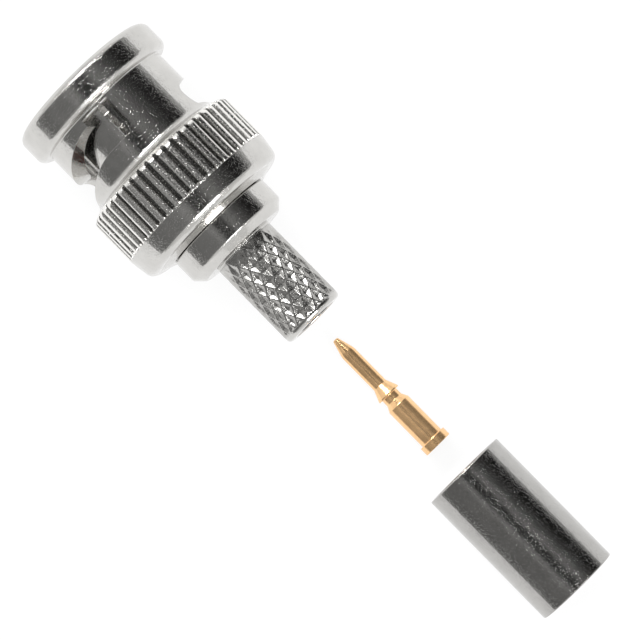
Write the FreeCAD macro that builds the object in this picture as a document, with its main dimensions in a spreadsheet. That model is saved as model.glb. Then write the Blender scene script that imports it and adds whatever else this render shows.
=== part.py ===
import FreeCAD, Part
import math
import os

import Sketcher

# Crimp-type BNC cable plug in the three pieces it is supplied in: the plug, its
# loose centre contact pin and its loose crimp ferrule. They lie in line on a
# surface. X runs along their axes from the plug's nose to the ferrule, Z is up,
# and the origin is on the surface under the middle of the row. Millimetres.

SIZES = [
    # the three pieces in their row
    ("pin_gap", 2.13),
    ("ferrule_gap", 3.01),
    # coupling nut, outside
    ("nose_flange_height", 0.98),
    ("nose_flange_width", 3.25),
    ("nose_round", 0.7),
    ("sleeve_wall", 1.35),
    ("sleeve_fillet", 0.1),
    ("ring_front", 9.55),
    ("ring_height", 1.37),
    ("ring_root_fillet", 0.65),
    ("ring_front_round", 0.3),
    ("rib_length", 4.35),
    ("rib_count", 50),
    ("rib_groove_depth", 0.26),
    ("rib_groove_width", 0.44),
    ("rib_groove_floor", 0.16),
    ("rear_band_length", 2.25),
    ("rear_band_drop", 0.34),
    ("rear_band_round", 0.85),
    ("rear_face_land", 0.15),
    ("rear_cone_length", 0.35),
    ("rear_cone_height", 0.8),
    # coupling nut, inside
    ("jack_shell_gap", 0.77),
    ("nose_lead_in", 0.35),
    ("chamber_start", 10.4),
    ("ring_wall", 1.34),
    ("lip_thickness", 1.2),
    # bayonet tracks of the coupling nut
    ("stud_channel_depth", 0.7),
    ("track_start", 2.1),
    ("track_edge_high", 5.0),
    ("track_edge_low", -21.0),
    ("track_corner_turn", 5.4),
    ("track_corner_length", 0.5),
    ("track_entry_length", 6.7),
    ("track_width", 3.1),
    ("track_rise", 2.2),
    ("track_end_turn", -121.0),
    ("track_lock_turn", 14.0),
    ("track_lock_seat", 7.0),
    ("track_wall_slope", 0.5),
    # slotted outer contact
    ("contact_front", 2.9),
    ("contact_radius", 4.15),
    ("finger_wall", 0.7),
    ("contact_tip_round", 0.2),
    ("finger_count", 4),
    ("finger_slot_width", 0.5),
    ("finger_slot_length", 6.0),
    ("collar_clearance", 0.4),
    ("collar_thickness", 0.75),
    ("tail_step", 0.15),
    ("tail_wall", 0.65),
    ("tail_length", 2.0),
    # gasket, washers and springs between the collar and the nut's lip
    ("gasket_margin", 0.3),
    ("gasket_thickness", 0.9),
    ("washer_clearance", 0.15),
    ("thrust_washer_thickness", 0.3),
    ("spacer_thickness", 0.2),
    ("wave_height", 0.65),
    ("wave_thickness", 0.18),
    ("wave_count", 3),
    ("wave_clearance", 0.25),
    ("seat_clearance", 0.02),
    ("running_clearance", 0.06),
    # plug body with its crimp stem
    ("journal_wall", 0.9),
    ("flange_clearance", 0.05),
    ("flange_height", 0.53),
    ("flange_width", 2.05),
    ("flange_chamfer_length", 0.85),
    ("flange_chamfer_height", 0.83),
    ("flange_floor", 1.9),
    ("stem_wall", 0.86),
    ("stem_length", 8.55),
    ("stem_bore_radius", 2.05),
    ("stem_end_round", 0.4),
    ("stem_end_band", 0.85),
    ("stem_neck_band", 0.35),
    ("pit_rows", 4),
    ("pits_around", 17),
    ("pit_share", 0.84),
    ("pit_depth", 0.28),
    # insulators
    ("insulator_front", 7.4),
    ("pin_clearance", 0.03),
    ("pin_seat_depth", 0.85),
    ("bush_flare_length", 0.5),
    # centre contact pin
    ("pin_length", 12.55),
    ("pin_tip_radius", 0.25),
    ("pin_tip_length", 1.55),
    ("pin_tip_round", 1.6),
    ("pin_shaft_radius", 0.685),
    ("pin_shaft_length", 5.45),
    ("pin_barb_height", 0.415),
    ("pin_barb_length", 1.0),
    ("pin_barb_land", 0.12),
    ("pin_neck_depth", 0.29),
    ("pin_neck_length", 0.62),
    ("pin_neck_chamfer", 0.55),
    ("pin_flange_height", 0.24),
    ("pin_flange_width", 0.8),
    ("wire_hole_radius", 0.5),
    ("wire_hole_depth", 4.8),
    # crimp ferrule
    ("ferrule_radius", 3.87),
    ("ferrule_wall", 0.45),
    ("ferrule_length", 13.65),
    ("ferrule_edge_round", 0.12),
]


class Size:
    """A length or angle with its value and the sheet expression that gives it."""

    def __init__(self, value, text):
        self.value = value
        self.text = text

    def __add__(self, other):
        other = as_size(other)
        return Size(self.value + other.value, f"({self.text} + {other.text})")

    def __sub__(self, other):
        other = as_size(other)
        return Size(self.value - other.value, f"({self.text} - {other.text})")

    def __mul__(self, other):
        other = as_size(other)
        return Size(self.value * other.value, f"({self.text} * {other.text})")

    def __truediv__(self, other):
        other = as_size(other)
        return Size(self.value / other.value, f"({self.text} / {other.text})")

    def __neg__(self):
        return Size(-self.value, f"(-1 * {self.text})")

    __radd__ = __add__


def as_size(number):
    if isinstance(number, Size):
        return number
    return Size(float(number), str(number))


def make_sheet(document):
    """Writes the driving dimensions to the sheet, one row each, with their aliases."""
    sheet = document.addObject("Spreadsheet::Sheet", "sizes")
    for row, (alias, number) in enumerate(SIZES, start=1):
        sheet.set(f"A{row}", alias.replace("_", " "))
        sheet.set(f"B{row}", str(number))
        sheet.setAlias(f"B{row}", alias)
    document.recompute()
    return sheet


class Sizes:
    """Gives each driving dimension of the sheet as a Size."""

    def __init__(self, sheet):
        for alias, _ in SIZES:
            setattr(self, alias, Size(float(sheet.get(alias)), f"sizes.{alias}"))


def new_body(document, label):
    body = document.addObject("PartDesign::Body", label)
    body.Label = label
    return body


def origin_feature(body, role):
    return next(item for item in body.Origin.OriginFeatures if item.Role == role)


def new_sketch(body, name, role):
    sketch = body.newObject("Sketcher::SketchObject", name)
    sketch.AttachmentSupport = (origin_feature(body, role), [""])
    sketch.MapMode = "FlatFace"
    return sketch


def bind_sketch_point(sketch, line, point, along, across):
    """Ties one end of a sketch line to its two distances from the sketch's origin."""
    for kind, distance in (("DistanceX", along), ("DistanceY", across)):
        index = sketch.addConstraint(Sketcher.Constraint(kind, -1, 1, line, point, distance.value))
        sketch.setExpression(f"Constraints[{index}]", distance.text)


def draw_outline(sketch, outline):
    """Draws a closed outline of straight lines whose corners are tied to the sheet."""
    corners = [(as_size(along), as_size(across)) for along, across in outline]
    count = len(corners)
    for index, (along, across) in enumerate(corners):
        next_along, next_across = corners[(index + 1) % count]
        start = FreeCAD.Vector(along.value, across.value, 0)
        end = FreeCAD.Vector(next_along.value, next_across.value, 0)
        sketch.addGeometry(Part.LineSegment(start, end))
    for index in range(count):
        sketch.addConstraint(Sketcher.Constraint("Coincident", index, 2, (index + 1) % count, 1))
    for index, (along, across) in enumerate(corners):
        bind_sketch_point(sketch, index, 1, along, across)


def turned_body(document, label, outline):
    """A body turned about X from an outline of (distance along X, radius) corners."""
    body = new_body(document, label)
    sketch = new_sketch(body, f"{label}_profile", "XZ_Plane")
    draw_outline(sketch, outline)
    turning = body.newObject("PartDesign::Revolution", f"{label}_turning")
    turning.Profile = sketch
    turning.ReferenceAxis = (sketch, ["H_Axis"])
    turning.Angle = 360.0
    sketch.Visibility = False
    document.recompute()
    return body


def round_edges(document, body, name, corners, radius):
    """Rounds the circular edges of a turned body that lie at (distance along X, radius)."""
    shape = body.Tip.Shape
    found = []
    for along, across in corners:
        along = as_size(along).value
        across = as_size(across).value
        for number, edge in enumerate(shape.Edges, start=1):
            if edge.Curve.TypeId != "Part::GeomCircle":
                continue
            centre = edge.Curve.Center
            same_place = abs(centre.x - along) < 1e-4 and math.hypot(centre.y, centre.z) < 1e-4
            if same_place and abs(edge.Curve.Radius - across) < 1e-4:
                found.append(f"Edge{number}")
    rounding = body.newObject("PartDesign::Fillet", name)
    rounding.Base = (body.Tip if rounding.BaseFeature is None else rounding.BaseFeature, found)
    rounding.Radius = radius.value
    rounding.setExpression("Radius", radius.text)
    document.recompute()
    return rounding


def place(item, along, height):
    """Puts a piece's own X axis at its distance along the row and height over the surface."""
    item.setExpression(".Placement.Base.x", along.text)
    item.setExpression(".Placement.Base.z", height.text)


def point_on_cylinder(along, radius, degrees):
    """A point at an angle from the top, positive towards +Y."""
    turn = math.radians(degrees)
    return FreeCAD.Vector(along, radius * math.sin(turn), radius * math.cos(turn))


def wrapped_edge(track, radius, start, end, steps):
    """A smooth edge that follows track(angle) round a cylinder."""
    angles = [start + (end - start) * step / steps for step in range(steps + 1)]
    curve = Part.BSplineCurve()
    curve.interpolate([point_on_cylinder(track(angle), radius, angle) for angle in angles])
    return curve.toShape()


def wrapped_block(front, rear, inner, outer, start, end, steps=12):
    """A solid wrapped round X between two radii, two angles and two edges.

    front and rear are functions of (angle, radius) that give the distance along X.
    """
    edges = {}
    for side, track in (("front", front), ("rear", rear)):
        for depth, radius in (("inner", inner), ("outer", outer)):
            def at_radius(angle, track=track, radius=radius):
                return track(angle, radius)
            edges[side, depth] = wrapped_edge(at_radius, radius, start, end, steps)
    pairs = [
        (edges["front", "inner"], edges["front", "outer"]),
        (edges["rear", "inner"], edges["rear", "outer"]),
        (edges["front", "outer"], edges["rear", "outer"]),
        (edges["front", "inner"], edges["rear", "inner"]),
    ]
    faces = [Part.makeRuledSurface(first, second) for first, second in pairs]
    for angle in (start, end):
        corners = [
            point_on_cylinder(front(angle, inner), inner, angle),
            point_on_cylinder(front(angle, outer), outer, angle),
            point_on_cylinder(rear(angle, outer), outer, angle),
            point_on_cylinder(rear(angle, inner), inner, angle),
        ]
        faces.append(Part.Face(Part.makePolygon(corners + corners[:1])))
    shell = Part.makeShell(faces)
    shell.sewShape()
    solid = Part.Solid(shell)
    if solid.Volume < 0:
        solid.reverse()
    return solid


def bayonet_cutter(sizes, stations):
    """The space that one stud of the mating jack passes through, from nose to lock.

    A channel under the nose flange opens into a window. The window runs straight
    back, then turns round the sleeve on a rising ramp and ends in a lock seat that
    reaches a little forwards.
    """
    inner = stations.nut_bore_radius.value - sizes.nose_lead_in.value
    outer = stations.ring_radius.value
    skin = stations.sleeve_radius.value
    high = sizes.track_edge_high.value
    low = sizes.track_edge_low.value
    end = sizes.track_end_turn.value
    lock = end + sizes.track_lock_turn.value
    start = sizes.track_start.value
    entry_end = sizes.track_entry_length.value
    width = sizes.track_width.value
    rise = sizes.track_rise.value
    seat = sizes.track_lock_seat.value
    slope = sizes.track_wall_slope.value
    wall = skin - stations.nut_bore_radius.value
    corner = high - sizes.track_corner_turn.value

    def ramp(angle):
        """How far the ramp has moved back, from 0 where it starts to 1 at the lock."""
        share = (low - angle) / (low - lock)
        return share * share * (3 - 2 * share) if share < 1 else 1.0

    def closing(angle):
        """How much of the width is left in the rounded end, from 1 down to near 0."""
        share = min(1.0, max(0.0, (lock - angle) / (lock - end)))
        return math.sqrt(max(0.0, 1 - share * share))

    def lip(angle, radius):
        straight = entry_end - width + rise * ramp(angle)
        lean = slope * (skin - radius) / wall
        return seat + (straight + lean - seat) * closing(angle)

    def back(angle, radius):
        straight = entry_end + rise * ramp(angle)
        return seat + (straight - seat) * closing(angle)

    def level(distance):
        return lambda angle, radius: distance

    def cut_corner(angle, radius):
        return entry_end - sizes.track_corner_length.value * (angle - corner) / (high - corner)

    nearly_end = end + 0.002 * (lock - end)
    middle = (low + lock) / 2
    channel_start = -sizes.nose_lead_in.value
    channel_radius = stations.stud_channel_radius.value
    blocks = [
        wrapped_block(level(channel_start), level(entry_end), inner, channel_radius, low, high),
        wrapped_block(level(start), level(entry_end), inner, outer, low, corner),
        wrapped_block(level(start), cut_corner, inner, outer, corner, high),
        wrapped_block(lip, back, inner, outer, low, middle),
        wrapped_block(lip, back, inner, outer, middle, lock),
        wrapped_block(lip, back, inner, outer, lock, nearly_end, steps=24),
    ]
    return blocks[0].multiFuse(blocks[1:])


def bayonet_cutters(document, sizes, stations):
    """Both bayonet tracks, half a turn apart."""
    one = bayonet_cutter(sizes, stations)
    other = one.copy()
    other.rotate(FreeCAD.Vector(0, 0, 0), FreeCAD.Vector(1, 0, 0), 180)
    tracks = document.addObject("Part::Feature", "bayonet_tracks")
    tracks.Shape = Part.makeCompound([one, other])
    return tracks


def rib_grooves(document, body, sizes, stations):
    """Cuts the straight grooves between the grip ribs of the nut's ring."""
    sketch = new_sketch(body, "rib_groove_section", "YZ_Plane")
    sketch.setExpression(".AttachmentOffset.Base.z", sizes.ring_front.text)
    half_top = sizes.rib_groove_width / 2
    half_floor = sizes.rib_groove_floor / 2
    floor = stations.ring_radius - sizes.rib_groove_depth
    top = stations.ring_radius + sizes.rib_groove_depth
    spread = half_top + half_top - half_floor
    draw_outline(sketch, [(-half_floor, floor), (half_floor, floor), (spread, top), (-spread, top)])
    groove = body.newObject("PartDesign::Pocket", "rib_groove")
    groove.Profile = sketch
    groove.Reversed = True
    groove.Length = sizes.rib_length.value
    groove.setExpression("Length", sizes.rib_length.text)
    document.recompute()
    pattern = body.newObject("PartDesign::PolarPattern", "rib_grooves")
    pattern.Originals = [groove]
    pattern.Axis = (origin_feature(body, "X_Axis"), [""])
    pattern.Angle = 360.0
    pattern.Occurrences = int(sizes.rib_count.value)
    pattern.setExpression("Occurrences", sizes.rib_count.text)
    body.Tip = pattern
    sketch.Visibility = False
    document.recompute()


def coupling_nut(document, sizes, stations):
    """Bayonet coupling nut: nose flange, sleeve with two windows, ribbed ring, lip."""
    front = as_size(0)
    band_start = sizes.ring_front + sizes.rib_length
    band_end = band_start + sizes.rear_band_length
    band_radius = stations.ring_radius - sizes.rear_band_drop
    outline = [
        (front, stations.nose_flange_radius),
        (sizes.nose_flange_width, stations.nose_flange_radius),
        (sizes.nose_flange_width, stations.sleeve_radius),
        (sizes.ring_front, stations.sleeve_radius),
        (sizes.ring_front, stations.ring_radius),
        (band_start, stations.ring_radius),
        (band_end, band_radius),
        (band_end, stations.rear_face_radius),
        (stations.nut_end, stations.rear_cone_radius),
        (stations.nut_end, stations.lip_bore_radius),
        (stations.lip_front, stations.lip_bore_radius),
        (stations.lip_front, stations.chamber_radius),
        (sizes.chamber_start, stations.chamber_radius),
        (sizes.chamber_start, stations.nut_bore_radius),
        (sizes.nose_lead_in, stations.nut_bore_radius),
        (front, stations.nut_bore_radius + sizes.nose_lead_in),
    ]
    body = turned_body(document, "coupling_nut_blank", outline)
    nose_corners = [(front, stations.nose_flange_radius), (sizes.nose_flange_width, stations.nose_flange_radius)]
    round_edges(document, body, "nose_rounds", nose_corners, sizes.nose_round)
    round_edges(document, body, "sleeve_front_fillet", [(sizes.nose_flange_width, stations.sleeve_radius)],
                sizes.sleeve_fillet)
    round_edges(document, body, "ring_root", [(sizes.ring_front, stations.sleeve_radius)],
                sizes.ring_root_fillet)
    round_edges(document, body, "ring_front_edge", [(sizes.ring_front, stations.ring_radius)],
                sizes.ring_front_round)
    round_edges(document, body, "rear_band_edge", [(band_end, band_radius)], sizes.rear_band_round)
    rib_grooves(document, body, sizes, stations)
    nut = document.addObject("Part::Cut", "coupling_nut")
    nut.Label = "coupling_nut"
    nut.Base = body
    nut.Tool = bayonet_cutters(document, sizes, stations)
    place(nut, stations.nose, stations.plug_height)
    return nut


def outer_contact(document, sizes, stations):
    """Outer contact: slotted spring fingers, gasket collar and the tail pressed into the body."""
    front = as_size(0)
    collar_front = stations.collar_front - sizes.contact_front
    collar_rear = stations.collar_rear - sizes.contact_front
    tail_end = collar_rear + sizes.tail_length
    outline = [
        (front, sizes.contact_radius),
        (collar_front, sizes.contact_radius),
        (collar_front, stations.collar_radius),
        (collar_rear, stations.collar_radius),
        (collar_rear, stations.tail_radius),
        (tail_end, stations.tail_radius),
        (tail_end, stations.tail_bore_radius),
        (collar_rear, stations.tail_bore_radius),
        (collar_rear, stations.contact_bore_radius),
        (front, stations.contact_bore_radius),
    ]
    body = turned_body(document, "outer_contact", outline)
    round_edges(document, body, "finger_tips", [(front, sizes.contact_radius)], sizes.contact_tip_round)
    sketch = new_sketch(body, "finger_slot_section", "YZ_Plane")
    half = sizes.finger_slot_width / 2
    reach = sizes.contact_radius + sizes.finger_slot_width
    draw_outline(sketch, [(-half, as_size(0)), (half, as_size(0)), (half, reach), (-half, reach)])
    slot = body.newObject("PartDesign::Pocket", "finger_slot")
    slot.Profile = sketch
    slot.Reversed = True
    slot.Length = sizes.finger_slot_length.value
    slot.setExpression("Length", sizes.finger_slot_length.text)
    document.recompute()
    pattern = body.newObject("PartDesign::PolarPattern", "finger_slots")
    pattern.Originals = [slot]
    pattern.Axis = (origin_feature(body, "X_Axis"), [""])
    pattern.Angle = 360.0
    pattern.Occurrences = int(sizes.finger_count.value)
    pattern.setExpression("Occurrences", sizes.finger_count.text)
    body.Tip = pattern
    sketch.Visibility = False
    place(body, stations.nose + sizes.contact_front, stations.plug_height)
    return body


def diamond_pit(radius, depth, along, degrees, half_length, half_angle):
    """A four-sided pointed punch that sinks one diamond of the stem's knurl."""
    corner_radius = radius + depth
    spread = 2
    apex = point_on_cylinder(along, radius - depth, degrees)
    corners = [
        point_on_cylinder(along - half_length * spread, corner_radius, degrees),
        point_on_cylinder(along, corner_radius, degrees - half_angle * spread),
        point_on_cylinder(along + half_length * spread, corner_radius, degrees),
        point_on_cylinder(along, corner_radius, degrees + half_angle * spread),
    ]
    faces = []
    for index, corner in enumerate(corners):
        following = corners[(index + 1) % 4]
        faces.append(Part.Face(Part.makePolygon([apex, corner, following, apex])))
    for first, second, third in ((0, 1, 2), (0, 2, 3)):
        triangle = [corners[first], corners[second], corners[third], corners[first]]
        faces.append(Part.Face(Part.makePolygon(triangle)))
    shell = Part.makeShell(faces)
    shell.sewShape()
    solid = Part.Solid(shell)
    if solid.Volume < 0:
        solid.reverse()
    return solid


def stem_knurl(document, sizes, stations):
    """The diamond pits of the crimp stem, in staggered rows."""
    start = stations.stem_start.value + sizes.stem_neck_band.value
    end = stations.body_length.value - sizes.stem_end_band.value
    pitch = (end - start) / (sizes.pit_rows.value + 0.5)
    turn = 360.0 / sizes.pits_around.value
    half_length = pitch / 2 * sizes.pit_share.value
    half_angle = turn / 2 * sizes.pit_share.value
    radius = stations.stem_radius.value
    depth = sizes.pit_depth.value
    punches = []
    for row in range(2 * int(sizes.pit_rows.value)):
        along = start + pitch / 2 * (row + 1)
        for column in range(int(sizes.pits_around.value)):
            degrees = turn * (column + (row % 2) / 2)
            punches.append(diamond_pit(radius, depth, along, degrees, half_length, half_angle))
    knurl = document.addObject("Part::Feature", "stem_knurl")
    knurl.Shape = Part.makeCompound(punches)
    return knurl


def plug_body(document, sizes, stations):
    """Plug body: journal inside the nut, rear flange and knurled crimp stem."""
    front = as_size(0)
    flange_front = stations.body_flange_front
    flange_end = flange_front + sizes.flange_width
    stem_start = stations.stem_start
    end = stations.body_length
    outline = [
        (front, stations.journal_radius),
        (flange_front, stations.journal_radius),
        (flange_front, stations.flange_radius),
        (flange_end, stations.flange_radius),
        (stem_start, stations.flange_chamfer_radius),
        (stem_start, stations.stem_radius),
        (end, stations.stem_radius),
        (end, sizes.stem_bore_radius),
        (stations.bush_seat, sizes.stem_bore_radius),
        (stations.bush_seat, stations.tail_radius),
        (front, stations.tail_radius),
    ]
    blank = turned_body(document, "plug_body_blank", outline)
    round_edges(document, blank, "stem_end_edge", [(end, stations.stem_radius)], sizes.stem_end_round)
    body = document.addObject("Part::Cut", "plug_body")
    body.Label = "plug_body"
    body.Base = blank
    body.Tool = stem_knurl(document, sizes, stations)
    place(body, stations.nose + stations.collar_rear, stations.plug_height)
    return body


def ring(document, label, inner, outer, thickness, along, stations):
    """A flat ring about the plug's axis, such as a washer or the gasket."""
    front = as_size(0)
    outline = [(front, outer), (thickness, outer), (thickness, inner), (front, inner)]
    body = turned_body(document, label, outline)
    place(body, stations.nose + along, stations.plug_height)
    return body


def wave_washer(document, label, sizes, stations, along, turn):
    """A thin spring ring that waves along the axis as it goes round."""
    inner = stations.washer_bore_radius.value
    outer = stations.wave_outer_radius.value
    height = sizes.wave_height.value
    thickness = sizes.wave_thickness.value
    count = sizes.wave_count.value
    swing = (height - thickness) / 2

    def edge(radius, lift):
        steps = int(count) * 8
        points = []
        for step in range(steps):
            degrees = 360.0 * step / steps
            wave = swing * math.sin(math.radians(count * degrees + turn))
            points.append(point_on_cylinder(height / 2 + wave + lift, radius, degrees))
        curve = Part.BSplineCurve()
        curve.interpolate(Points=points, PeriodicFlag=True)
        return curve.toShape()

    corners = [(inner, -thickness / 2), (outer, -thickness / 2), (outer, thickness / 2), (inner, thickness / 2)]
    edges = [edge(radius, lift) for radius, lift in corners]
    faces = [Part.makeRuledSurface(edges[index], edges[(index + 1) % 4]) for index in range(4)]
    shell = Part.makeShell(faces)
    shell.sewShape()
    solid = Part.Solid(shell)
    if solid.Volume < 0:
        solid.reverse()
    washer = document.addObject("Part::Feature", label)
    washer.Label = label
    washer.Shape = solid
    place(washer, stations.nose + along, stations.plug_height)
    return washer


def front_insulator(document, sizes, stations):
    """Front insulator: fills the outer contact behind its fingers and holds the pin's barrel."""
    front = as_size(0)
    step = stations.collar_rear - sizes.insulator_front
    end = step + sizes.tail_length
    bore = stations.pin_barb_radius + sizes.pin_clearance
    seat = stations.pin_flange_radius + sizes.pin_clearance
    outline = [
        (front, stations.contact_bore_radius),
        (step, stations.contact_bore_radius),
        (step, stations.tail_bore_radius),
        (end, stations.tail_bore_radius),
        (end, seat),
        (end - sizes.pin_seat_depth, seat),
        (end - sizes.pin_seat_depth, bore),
        (front, bore),
    ]
    body = turned_body(document, "front_insulator", outline)
    place(body, stations.nose + sizes.insulator_front, stations.plug_height)
    return body


def rear_insulator(document, sizes, stations):
    """Rear insulator bush: backs the front one and guides the pin in from the stem."""
    front = as_size(0)
    length = stations.bush_seat - sizes.tail_length
    bore = stations.pin_flange_radius + sizes.pin_clearance
    outline = [
        (front, stations.tail_radius),
        (length, stations.tail_radius),
        (length, sizes.stem_bore_radius),
        (length - sizes.bush_flare_length, bore),
        (front, bore),
    ]
    body = turned_body(document, "rear_insulator", outline)
    place(body, stations.nose + stations.collar_rear + sizes.tail_length, stations.plug_height)
    return body


def contact_pin(document, sizes, stations):
    """Centre contact: pointed shaft, retaining barb, crimp barrel and rear flange."""
    front = as_size(0)
    barb_rear = sizes.pin_shaft_length + sizes.pin_barb_length + sizes.pin_barb_land
    neck_rear = barb_rear + sizes.pin_neck_length
    barrel_front = neck_rear + sizes.pin_neck_chamfer
    flange_front = sizes.pin_length - sizes.pin_flange_width
    hole_bottom = sizes.pin_length - sizes.wire_hole_depth
    outline = [
        (front, front),
        (front, sizes.pin_tip_radius),
        (sizes.pin_tip_length, sizes.pin_shaft_radius),
        (sizes.pin_shaft_length, sizes.pin_shaft_radius),
        (sizes.pin_shaft_length + sizes.pin_barb_length, stations.pin_barb_radius),
        (barb_rear, stations.pin_barb_radius),
        (barb_rear, stations.pin_neck_radius),
        (neck_rear, stations.pin_neck_radius),
        (barrel_front, stations.pin_barb_radius),
        (flange_front, stations.pin_barb_radius),
        (flange_front, stations.pin_flange_radius),
        (sizes.pin_length, stations.pin_flange_radius),
        (sizes.pin_length, sizes.wire_hole_radius),
        (hole_bottom, sizes.wire_hole_radius),
        (hole_bottom - sizes.wire_hole_radius, front),
    ]
    body = turned_body(document, "contact_pin", outline)
    round_edges(document, body, "pin_tip_blend", [(sizes.pin_tip_length, sizes.pin_shaft_radius)],
                sizes.pin_tip_round)
    place(body, stations.pin_start, stations.pin_flange_radius)
    return body


def crimp_ferrule(document, sizes, stations):
    """Crimp ferrule: a plain thin-walled tube."""
    front = as_size(0)
    bore = sizes.ferrule_radius - sizes.ferrule_wall
    outline = [
        (front, sizes.ferrule_radius),
        (sizes.ferrule_length, sizes.ferrule_radius),
        (sizes.ferrule_length, bore),
        (front, bore),
    ]
    body = turned_body(document, "crimp_ferrule", outline)
    ends = [(front, sizes.ferrule_radius), (sizes.ferrule_length, sizes.ferrule_radius)]
    round_edges(document, body, "ferrule_ends", ends, sizes.ferrule_edge_round)
    place(body, stations.ferrule_start, sizes.ferrule_radius)
    return body


class Stations:
    """The radii and the places that follow from the sizes.

    Places along the plug are counted from its nose. Those of the row are in the part's frame.
    """

    def __init__(self, sizes):
        self.set_radii(sizes)
        self.set_places(sizes)

    def set_radii(self, sizes):
        """From the outer contact outwards, and from the stem's bore outwards."""
        self.nut_bore_radius = sizes.contact_radius + sizes.jack_shell_gap
        self.stud_channel_radius = self.nut_bore_radius + sizes.stud_channel_depth
        self.sleeve_radius = self.nut_bore_radius + sizes.sleeve_wall
        self.nose_flange_radius = self.sleeve_radius + sizes.nose_flange_height
        self.ring_radius = self.sleeve_radius + sizes.ring_height
        self.chamber_radius = self.ring_radius - sizes.ring_wall
        rear_face_drop = sizes.rear_band_drop + sizes.rear_band_round + sizes.rear_face_land
        self.rear_face_radius = self.ring_radius - rear_face_drop
        self.contact_bore_radius = sizes.contact_radius - sizes.finger_wall
        self.tail_radius = self.contact_bore_radius + sizes.tail_step
        self.tail_bore_radius = self.tail_radius - sizes.tail_wall
        self.journal_radius = self.tail_radius + sizes.journal_wall
        self.rear_cone_radius = self.journal_radius + sizes.rear_cone_height
        self.flange_radius = self.journal_radius + sizes.flange_height
        self.flange_chamfer_radius = self.flange_radius - sizes.flange_chamfer_height
        self.lip_bore_radius = self.journal_radius + sizes.running_clearance
        self.washer_bore_radius = self.lip_bore_radius
        self.collar_radius = self.chamber_radius - sizes.collar_clearance
        self.gasket_radius = self.collar_radius - sizes.gasket_margin
        self.washer_radius = self.chamber_radius - sizes.washer_clearance
        self.wave_outer_radius = self.chamber_radius - sizes.wave_clearance
        self.stem_radius = sizes.stem_bore_radius + sizes.stem_wall
        self.pin_barb_radius = sizes.pin_shaft_radius + sizes.pin_barb_height
        self.pin_neck_radius = self.pin_barb_radius - sizes.pin_neck_depth
        self.pin_flange_radius = self.pin_barb_radius + sizes.pin_flange_height

    def set_places(self, sizes):
        band_end = sizes.ring_front + sizes.rib_length + sizes.rear_band_length
        self.nut_end = band_end + sizes.rear_cone_length
        self.lip_front = self.nut_end - sizes.lip_thickness
        clearance = sizes.seat_clearance
        self.thrust_washer = self.lip_front - clearance - sizes.thrust_washer_thickness
        self.rear_wave = self.thrust_washer - clearance - sizes.wave_height
        self.spacer = self.rear_wave - clearance - sizes.spacer_thickness
        self.front_wave = self.spacer - clearance - sizes.wave_height
        self.collar_rear = self.front_wave - clearance
        self.collar_front = self.collar_rear - sizes.collar_thickness
        self.gasket = self.collar_front - sizes.gasket_thickness
        self.body_flange_front = self.nut_end + sizes.flange_clearance - self.collar_rear
        self.stem_start = self.body_flange_front + sizes.flange_width + sizes.flange_chamfer_length
        self.body_length = self.stem_start + sizes.stem_length
        self.bush_seat = self.stem_start - sizes.flange_floor
        plug_length = self.collar_rear + self.body_length
        row = plug_length + sizes.pin_gap + sizes.pin_length + sizes.ferrule_gap + sizes.ferrule_length
        self.nose = -(row / 2)
        self.plug_height = self.ring_radius
        self.pin_start = self.nose + plug_length + sizes.pin_gap
        self.ferrule_start = self.pin_start + sizes.pin_length + sizes.ferrule_gap


def build_model(document):
    sheet = make_sheet(document)
    sizes = Sizes(sheet)
    stations = Stations(sizes)
    pieces = [
        coupling_nut(document, sizes, stations),
        outer_contact(document, sizes, stations),
        ring(document, "gasket", sizes.contact_radius, stations.gasket_radius, sizes.gasket_thickness,
             stations.gasket, stations),
        wave_washer(document, "wave_washer_front", sizes, stations, stations.front_wave, 0),
        ring(document, "spacer_washer", stations.washer_bore_radius, stations.washer_radius,
             sizes.spacer_thickness, stations.spacer, stations),
        wave_washer(document, "wave_washer_rear", sizes, stations, stations.rear_wave, 180),
        ring(document, "thrust_washer", stations.washer_bore_radius, stations.washer_radius,
             sizes.thrust_washer_thickness, stations.thrust_washer, stations),
        plug_body(document, sizes, stations),
        front_insulator(document, sizes, stations),
        rear_insulator(document, sizes, stations),
        contact_pin(document, sizes, stations),
        crimp_ferrule(document, sizes, stations),
    ]
    document.recompute()
    return pieces


def check_model(document, pieces):
    """Stops the run if any object failed or any piece isn't one sound solid."""
    for item in document.Objects:
        if "Invalid" in item.State or "Error" in item.State:
            raise RuntimeError(f"{item.Label} did not recompute: {item.State}")
    for piece in pieces:
        shape = piece.Shape
        if shape.isNull() or not shape.isValid() or len(shape.Solids) != 1:
            raise RuntimeError(f"{piece.Label} is not one valid solid")
        print(f"{piece.Label}: {shape.Volume:.2f} mm3, box {shape.BoundBox}")


def export_model(pieces):
    os.makedirs("parts", exist_ok=True)
    for piece in pieces:
        piece.Shape.exportStep(f"parts/{piece.Label}.step")


model = FreeCAD.newDocument("cable_plug")
plug_pieces = build_model(model)
check_model(model, plug_pieces)
export_model(plug_pieces)
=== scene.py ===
"""Looks of a crimp coaxial cable plug, its loose contact pin and its loose crimp ferrule.

The three lie in line along X, nose of the plug first. Lengths are in metres, but
in millimetres where a comment says so. Angles round the plug's axis are in degrees
from the top, positive towards +Y.
"""

import math

import bmesh
import bpy
import numpy as np
from bpy.props import FloatProperty, FloatVectorProperty, IntProperty, PointerProperty
from mathutils import Matrix, Vector


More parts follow.
